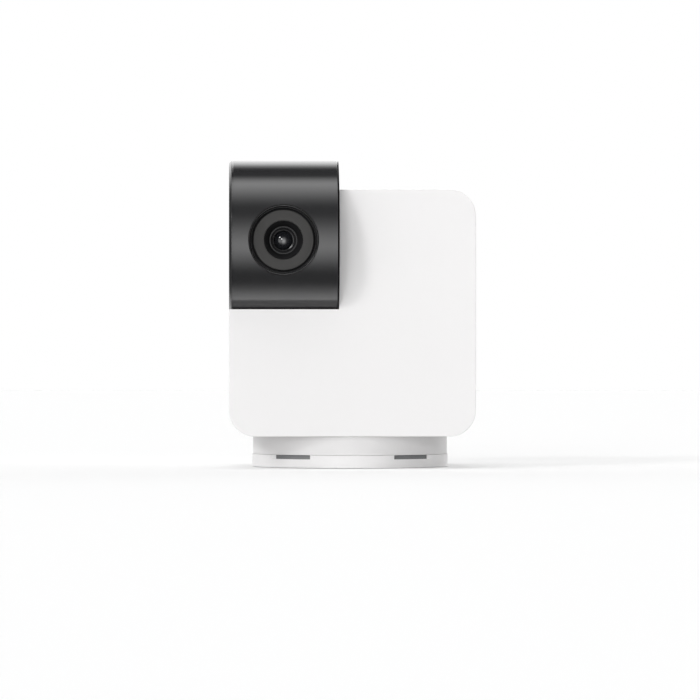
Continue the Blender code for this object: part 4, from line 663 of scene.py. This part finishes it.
class PETCAM_OT_lens(bpy.types.Operator):
    """Models what lies in the roller's round opening: bezel, plate, stepped barrel and domed glass."""

    bl_idname = "pet_camera.lens"
    bl_label = "Model the lens"

    def execute(self, context):
        sizes = context.scene.pet_camera_lens
        roller = context.scene.pet_camera_roller
        place = (-context.scene.pet_camera_body.width / 2 + roller.length / 2, roller.axis_y, roller.axis_z)
        outer = sizes.opening - 0.2 * MM
        lip = 0.1 * MM
        bezel = turned(
            "lens_bezel_ring",
            outline(
                (sizes.groove, GROOVE_FLOOR), (sizes.groove, BEZEL_LIP, lip),
                (sizes.groove + 0.22 * MM, BEZEL_LIP, lip), (sizes.groove + 0.3 * MM, BEZEL_SLOPE),
                (outer - 0.35 * MM, BEZEL_SLOPE + 0.5 * MM), (outer - 0.27 * MM, BEZEL_EDGE, lip),
                (outer, BEZEL_EDGE, lip), (outer, BEZEL_FLANGE), (12.6 * MM, BEZEL_FLANGE),
                (12.6 * MM, BEZEL_BACK), (9.0 * MM, BEZEL_BACK), (9.0 * MM, GROOVE_FLOOR), closed=True,
            ),
            place, "-Y", BEZEL_SIDES,
        )
        finish(bezel, finish_named("satin_polycarbonate"), "head", "satin_black", "lens_bezel")
        # A polished half-round hoop along the bezel's edge: its upper side catches the light as a thin arc
        hoop_out = outer + 0.12 * MM
        hoop_in = outer - 0.25 * MM
        hoop_back = 22.6 * MM
        hoop = turned(
            "trim_ring",
            outline(
                (hoop_out, hoop_back), (hoop_out, HOOP_TOP, 0.22 * MM),
                (hoop_in, HOOP_TOP, 0.14 * MM), (hoop_in, hoop_back), closed=True,
            ),
            place, "-Y", BEZEL_SIDES,
        )
        finish(hoop, finish_named("polished_acrylic_blend"), "head", "gloss_black")
        # The gasket's black foam at the bottom of the groove round the plate
        gasket_in = 9.2 * MM
        gasket = turned(
            "plate_gasket",
            outline((gasket_in, GROOVE_FLOOR), (sizes.groove, GROOVE_FLOOR), (sizes.groove, GASKET_TOP),
                    (gasket_in, GASKET_TOP), closed=True),
            place, "-Y", BARREL_SIDES,
        )
        finish(gasket, finish_named("light_trap_paint"), "head", "rubber")
        plate = turned(
            "lens_plate",
            outline(
                (sizes.recess, GASKET_TOP), (sizes.recess, PLATE_TOP, lip),
                (sizes.plate, PLATE_TOP, 0.12 * MM), (sizes.plate, GASKET_TOP), closed=True,
            ),
            place, "-Y", BEZEL_SIDES,
        )
        finish(plate, finish_named("satin_acrylic"), "head", "smoked_window", "face_window")
        # The barrel's recess narrows in steps down to the glass's seat
        seat = sizes.glass + 0.15 * MM
        tube = sizes.recess - 0.1 * MM
        mouth = 22.1 * MM
        seat_back = 15.9 * MM
        barrel = turned(
            "lens_barrel_ring",
            outline(
                (sizes.recess - 0.25 * MM, mouth), (sizes.outer_ring, 19.4 * MM),
                (sizes.outer_ring, 18.6 * MM), (sizes.inner_ring, 18.2 * MM), (seat, 17.6 * MM),
                (seat, seat_back), (4.6 * MM, seat_back), (4.6 * MM, BARREL_BACK), (tube, BARREL_BACK),
                (tube, mouth), closed=True,
            ),
            place, "-Y", BARREL_SIDES,
        )
        finish(barrel, finish_named("light_trap_paint"), "head", "black_plastic", "lens_barrel")
        # Threaded retaining rings: their turned lips draw the thin grey circles round the glass
        # The inner one is dished towards the glass
        rings = (
            ("retaining_ring_1", sizes.outer_ring, 19.5 * MM, 0.02 * MM, "dull_anodised_aluminium"),
            ("retaining_ring_2", sizes.inner_ring, 18.5 * MM, 0.155 * MM, "black_anodised_aluminium"),
        )
        for name, radius, height, dish, metal in rings:
            bore = radius - 0.34 * MM
            back = height - 0.7 * MM
            ring = turned(
                name,
                outline(
                    (bore, back), (bore, height - dish), (radius, height, 0.06 * MM),
                    (radius + 0.1 * MM, back), closed=True,
                ),
                place, "-Y", BARREL_SIDES,
            )
            finish(ring, finish_named(metal), "head", "black_plastic")
        curve = sizes.curve
        spread = math.asin(sizes.glass / curve)
        face = []
        for step in range(25):
            swing = spread * step / 24
            face.append((curve * math.sin(swing), GLASS_TOP - curve + curve * math.cos(swing)))
        face += [(sizes.glass, GLASS_BACK), (0, GLASS_BACK)]
        glass = turned("front_glass", face, place, "-Y", GLASS_SIDES)
        finish(glass, finish_named("lanthanum_glass"), "head", "lens_glass", "front_lens")
        return {"FINISHED"}


class PETCAM_OT_foot(bpy.types.Operator):
    """Models the round foot: the lower ring with its sound slots, the upper part, the pad and the button."""

    bl_idname = "pet_camera.foot"
    bl_label = "Model the foot"

    def execute(self, context):
        sizes = context.scene.pet_camera_foot
        white = finish_named("white_abs")
        inner = sizes.radius - sizes.wall
        ring = turned(
            "foot_ring",
            outline(
                (0, PLATE_INSIDE), (inner, PLATE_INSIDE), (inner, sizes.seam),
                (sizes.radius, sizes.seam, 0.08 * MM), (sizes.radius, 0.15 * MM, 0.15 * MM),
                (27.3 * MM, 0.15 * MM), (27.3 * MM, PLATE_BOTTOM), (0, PLATE_BOTTOM),
            ),
            (0, 0, 0), "Z", FOOT_SIDES,
        )
        low = sizes.seam - sizes.slot
        cloth_in = inner + 0.9 * MM
        cloth_out = inner + 1.1 * MM
        section = outline(
            (cloth_in, low), (cloth_out, low), (cloth_out, sizes.seam), (cloth_in, sizes.seam), closed=True
        )
        for name, side in (("sound_cloth_left", -1), ("sound_cloth_right", 1)):
            # The slot is milled straight back, so that it runs out towards its outer end
            ends = sorted((side * sizes.slot_start, side * sizes.radius))
            slot_low = (ends[0], -sizes.radius - OVERRUN, low)
            slot_high = (ends[1], -sizes.slot_back, sizes.seam + MM)
            cut(ring, box("sound_slot", slot_low, slot_high))
            cloth = turned(name, section, (0, 0, 0), "Z", 32, CLOTH_SWEEP)
            choose(cloth)
            turn = -QUARTER + side * CLOTH_START + (CLOTH_SWEEP if side > 0 else 0)
            cloth.rotation_euler = (0, 0, turn)
            bpy.ops.object.transform_apply(location=True, rotation=True, scale=True)
            finish(cloth, finish_named("acoustic_cloth"), "base", "grey_plastic")
        finish(ring, white, "base", "white_shell", "base_cover", weighted=True)

        radius = sizes.radius - sizes.step
        inner = radius - sizes.wall
        seam_top = sizes.seam + sizes.seam_gap
        track = sizes.height - 0.8 * MM
        upper = turned(
            "foot_upper",
            outline(
                (HUB_SEAT, sizes.height), (TRACK_INNER, sizes.height), (TRACK_INNER, track),
                (TRACK_OUTER, track), (TRACK_OUTER, sizes.height), (COLLAR, sizes.height),
                (COLLAR, sizes.rim), (radius, sizes.rim, 0.15 * MM), (radius, seam_top, 0.08 * MM),
                (inner, seam_top), (inner, sizes.height - UPPER_WALL),
                (HUB_SEAT, sizes.height - UPPER_WALL), closed=True,
            ),
            (0, 0, 0), "Z", FOOT_SIDES,
        )
        low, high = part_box("power_socket")
        # The socket's tongue, which carries the contacts
        middle = (low + high) / 2
        tongue_low = (middle.x - TONGUE_REACH, high.y - 5.2 * MM, middle.z - TONGUE_RISE)
        tongue_high = (middle.x + TONGUE_REACH, high.y - 0.9 * MM, middle.z + TONGUE_RISE)
        tongue = box("socket_tongue", tongue_low, tongue_high)
        round_edges(tongue, lambda a, b: min(a.y, b.y) > high.y - MM, 0.2 * MM, 3)
        finish(tongue, finish_named("matt_nylon"), "base", "black_plastic")
        mouth = box("socket_mouth", (low.x - 0.2 * MM, INLET_FRONT, low.z - 4 * MM),
                    (high.x + 0.2 * MM, INLET_BACK, high.z + 0.2 * MM))
        round_edges(mouth, lambda a, b: abs(a.y - b.y) > 5 * MM, 1.4 * MM, 8)
        low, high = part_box("reset_button")
        centre = (low + high) / 2
        hole = rod("button_hole", BUTTON_HOLE, (centre.x, 25 * MM, centre.z),
                   (centre.x, INLET_BACK, centre.z), SMALL_SIDES)
        cut(upper, mouth, hole)
        break_edges(upper, 0.08 * MM)
        # The upper part wears the greyer white: painted shade under the body
        finish(upper, finish_named("white_abs_with_painted_shade"), "base", "white_shell", "base_shell", weighted=True)

        flange = low.y + 0.6 * MM
        button = turned(
            "foot_button",
            outline((0, high.y), (BUTTON, high.y, 0.3 * MM), (BUTTON, flange), (BUTTON_FLANGE, flange),
                    (BUTTON_FLANGE, low.y), (0, low.y)),
            (centre.x, 0, centre.z), "Y", SMALL_SIDES,
        )
        finish(button, finish_named("matt_nylon"), "button", "black_plastic", "reset_button")

        pad = turned(
            "rubber_pad",
            outline((0, MM), (PAD_RADIUS, MM, 0.2 * MM), (PAD_RADIUS, 0, 0.3 * MM), (0, 0)),
            (0, 0, 0), "Z", BEZEL_SIDES,
        )
        finish(pad, finish_named("silicone_rubber"), "base", "rubber", "foot_pad")
        return {"FINISHED"}


def strip_light(tree, angle, side, rise, fall, left, right, strength):
    """A long light along X.

    It rises between two angles above the horizon and falls between two others. To the left and right it keeps
    its strength up to one share of the view's side, and from a second share on only the third number's part.
    """
    light = strength
    for value, start, end, low, high in (
        (angle, math.radians(rise[0]), math.radians(rise[1]), 0.0, 1.0),
        (angle, math.radians(fall[0]), math.radians(fall[1]), 1.0, 0.0),
        (side, -left[1], -left[0], left[2], 1.0),
        (side, right[0], right[1], 1.0, right[2]),
    ):
        share = add_node(
            tree, "ShaderNodeMapRange",
            {"Value": value, "From Min": start, "From Max": end, "To Min": low, "To Max": high},
            interpolation_type="SMOOTHSTEP",
        ).outputs["Result"]
        light = add_node(tree, "ShaderNodeMath", {0: light, 1: share}, operation="MULTIPLY").outputs[0]
    return light


def softbox(tree, view, azimuth, elevation, inner, outer, strength):
    """A round light, in degrees right of the front and above the horizon, softened between two radii."""
    across = math.radians(azimuth)
    up = math.radians(elevation)
    aim = (math.sin(across) * math.cos(up), -math.cos(across) * math.cos(up), math.sin(up))
    near = add_node(tree, "ShaderNodeVectorMath", {0: view, 1: aim}, operation="DOT_PRODUCT").outputs["Value"]
    return add_node(
        tree, "ShaderNodeMapRange",
        {"Value": near, "From Min": math.cos(math.radians(outer)), "From Max": math.cos(math.radians(inner)),
         "To Max": strength},
        interpolation_type="SMOOTHSTEP",
    ).outputs["Result"]


class PETCAM_OT_stage(bpy.types.Operator):
    """Sets the pale floor, the strip lights round the camera and the camera that looks at it."""

    bl_idname = "pet_camera.stage"
    bl_label = "Set the stage"

    def execute(self, context):
        sizes = context.scene.pet_camera_stage
        self.set_floor(sizes)
        self.set_lights(context)
        turn = sizes.azimuth
        bpy.ops.object.camera_add(
            location=(sizes.distance * math.sin(turn), -sizes.distance * math.cos(turn), sizes.height),
            rotation=(QUARTER, 0, turn),
        )
        camera = context.object
        camera.data.sensor_width = 36.0
        camera.data.lens = sizes.focal_length
        camera.data.clip_end = 20.0
        context.scene.camera = camera
        context.scene.view_settings.view_transform = "Standard"
        return {"FINISHED"}

    def set_floor(self, sizes):
        clear_selection()
        bpy.ops.mesh.primitive_plane_add(size=sizes.floor)
        floor = settle("floor")
        material = bpy.data.materials.new("pale_paper")
        material.use_nodes = True
        tree = material.node_tree
        tree.nodes.clear()
        seen = add_node(tree, "ShaderNodeLightPath", {}).outputs["Is Camera Ray"]
        paper = add_node(tree, "ShaderNodeBsdfDiffuse", {"Color": linear("DDDDDD")})
        glow = add_node(tree, "ShaderNodeEmission", {"Color": (1, 1, 1, 1), "Strength": 0.23})
        bright = add_node(tree, "ShaderNodeAddShader", {0: paper.outputs[0], 1: glow.outputs[0]})
        plain = add_node(tree, "ShaderNodeBsdfDiffuse", {"Color": linear("E0E0E0")})
        mix = add_node(tree, "ShaderNodeMixShader", {0: seen, 1: plain.outputs[0], 2: bright.outputs[0]})
        add_node(tree, "ShaderNodeOutputMaterial", {"Surface": mix.outputs[0]})
        floor.data.materials.append(material)
        floor.visible_glossy = False

    def set_lights(self, context):
        world = bpy.data.worlds.new("studio")
        context.scene.world = world
        world.use_nodes = True
        tree = world.node_tree
        tree.nodes.clear()
        view = add_node(tree, "ShaderNodeTexCoord", {}).outputs["Generated"]
        parts = add_node(tree, "ShaderNodeSeparateXYZ", {"Vector": view}).outputs
        side = parts["X"]
        toward = add_node(tree, "ShaderNodeMath", {0: parts["Y"], 1: -1.0}, operation="MULTIPLY").outputs[0]
        angle = add_node(tree, "ShaderNodeMath", {0: parts["Z"], 1: toward}, operation="ARCTAN2").outputs[0]
        size = add_node(tree, "ShaderNodeMath", {0: angle}, operation="ABSOLUTE").outputs[0]
        # The photo's roller shows these lights as bands: the broad one round the camera, one above, one low
        # down and one behind. The numbers are degrees round the roller and shares of the view's side.
        near_sides = (0.09, 0.3, 0.4), (0.08, 0.21, 0.38)
        lights = [
            strip_light(tree, angle, side, (-50, -2), (-15, 43), (0.12, 0.23, 0.5), (0.08, 0.6, 0.05), 4.05),
            strip_light(tree, angle, side, (46, 90), (87, 109), *near_sides, 4.2),
            strip_light(tree, angle, side, (-112, -96), (-94, -58), *near_sides, 2.9),
            strip_light(tree, size, side, (122, 147), (145, 205), (0.59, 0.7, 1.3), (0.8, 1.0, 0.12), 2.1),
            # Two small lights for the glass and its rings, and a weak one for the back
            softbox(tree, view, -40, 30, 5, 9, 16.0),
            softbox(tree, view, -16, 13, 3, 7, 13.0),
            softbox(tree, view, 148, -2, 20, 28, 0.7),
            # A black flag at the far left, which takes light away there and darkens the roller's left rim
            softbox(tree, view, -98, 2, 12, 30, -1.7),
        ]
        total = lights[0]
        for light in lights[1:]:
            total = add_node(tree, "ShaderNodeMath", {0: total, 1: light}, operation="ADD").outputs[0]
        total = add_node(tree, "ShaderNodeMath", {0: total, 1: 0.0}, operation="MAXIMUM").outputs[0]
        studio = add_node(tree, "ShaderNodeBackground", {"Color": (1, 1, 1, 1), "Strength": total})
        white = add_node(tree, "ShaderNodeBackground", {"Color": (1, 1, 1, 1), "Strength": 1.0})
        path = add_node(tree, "ShaderNodeLightPath", {}).outputs
        seen = add_node(
            tree, "ShaderNodeMath", {0: path["Is Camera Ray"], 1: path["Is Transmission Ray"]},
            operation="MAXIMUM",
        ).outputs[0]
        mix = add_node(tree, "ShaderNodeMixShader", {0: seen, 1: studio.outputs[0], 2: white.outputs[0]})
        add_node(tree, "ShaderNodeOutputWorld", {"Surface": mix.outputs[0]})


STEPS = (PETCAM_OT_inside, PETCAM_OT_body, PETCAM_OT_roller, PETCAM_OT_lens, PETCAM_OT_foot, PETCAM_OT_stage)
GROUPS = {
    "pet_camera_body": BodySizes,
    "pet_camera_roller": RollerSizes,
    "pet_camera_lens": LensSizes,
    "pet_camera_foot": FootSizes,
    "pet_camera_finishes": Finishes,
    "pet_camera_stage": StageSizes,
}


class PETCAM_PT_panel(bpy.types.Panel):
    """Lists the steps in the sidebar of the 3D view."""

    bl_label = "Pet camera"
    bl_space_type = "VIEW_3D"
    bl_region_type = "UI"
    bl_category = "Pet camera"

    def draw(self, context):
        for step in STEPS:
            self.layout.operator(step.bl_idname)


def register():
    for kind in (*GROUPS.values(), *STEPS, PETCAM_PT_panel):
        bpy.utils.register_class(kind)
    for name, kind in GROUPS.items():
        setattr(bpy.types.Scene, name, bpy.props.PointerProperty(type=kind))


def unregister():
    for name in GROUPS:
        delattr(bpy.types.Scene, name)
    for kind in reversed((*GROUPS.values(), *STEPS, PETCAM_PT_panel)):
        bpy.utils.unregister_class(kind)


def main():
    register()
    bpy.ops.pet_camera.inside()
    bpy.ops.pet_camera.body()
    bpy.ops.pet_camera.roller()
    bpy.ops.pet_camera.lens()
    bpy.ops.pet_camera.foot()
    bpy.ops.pet_camera.stage()


if __name__ == "__main__":
    main()
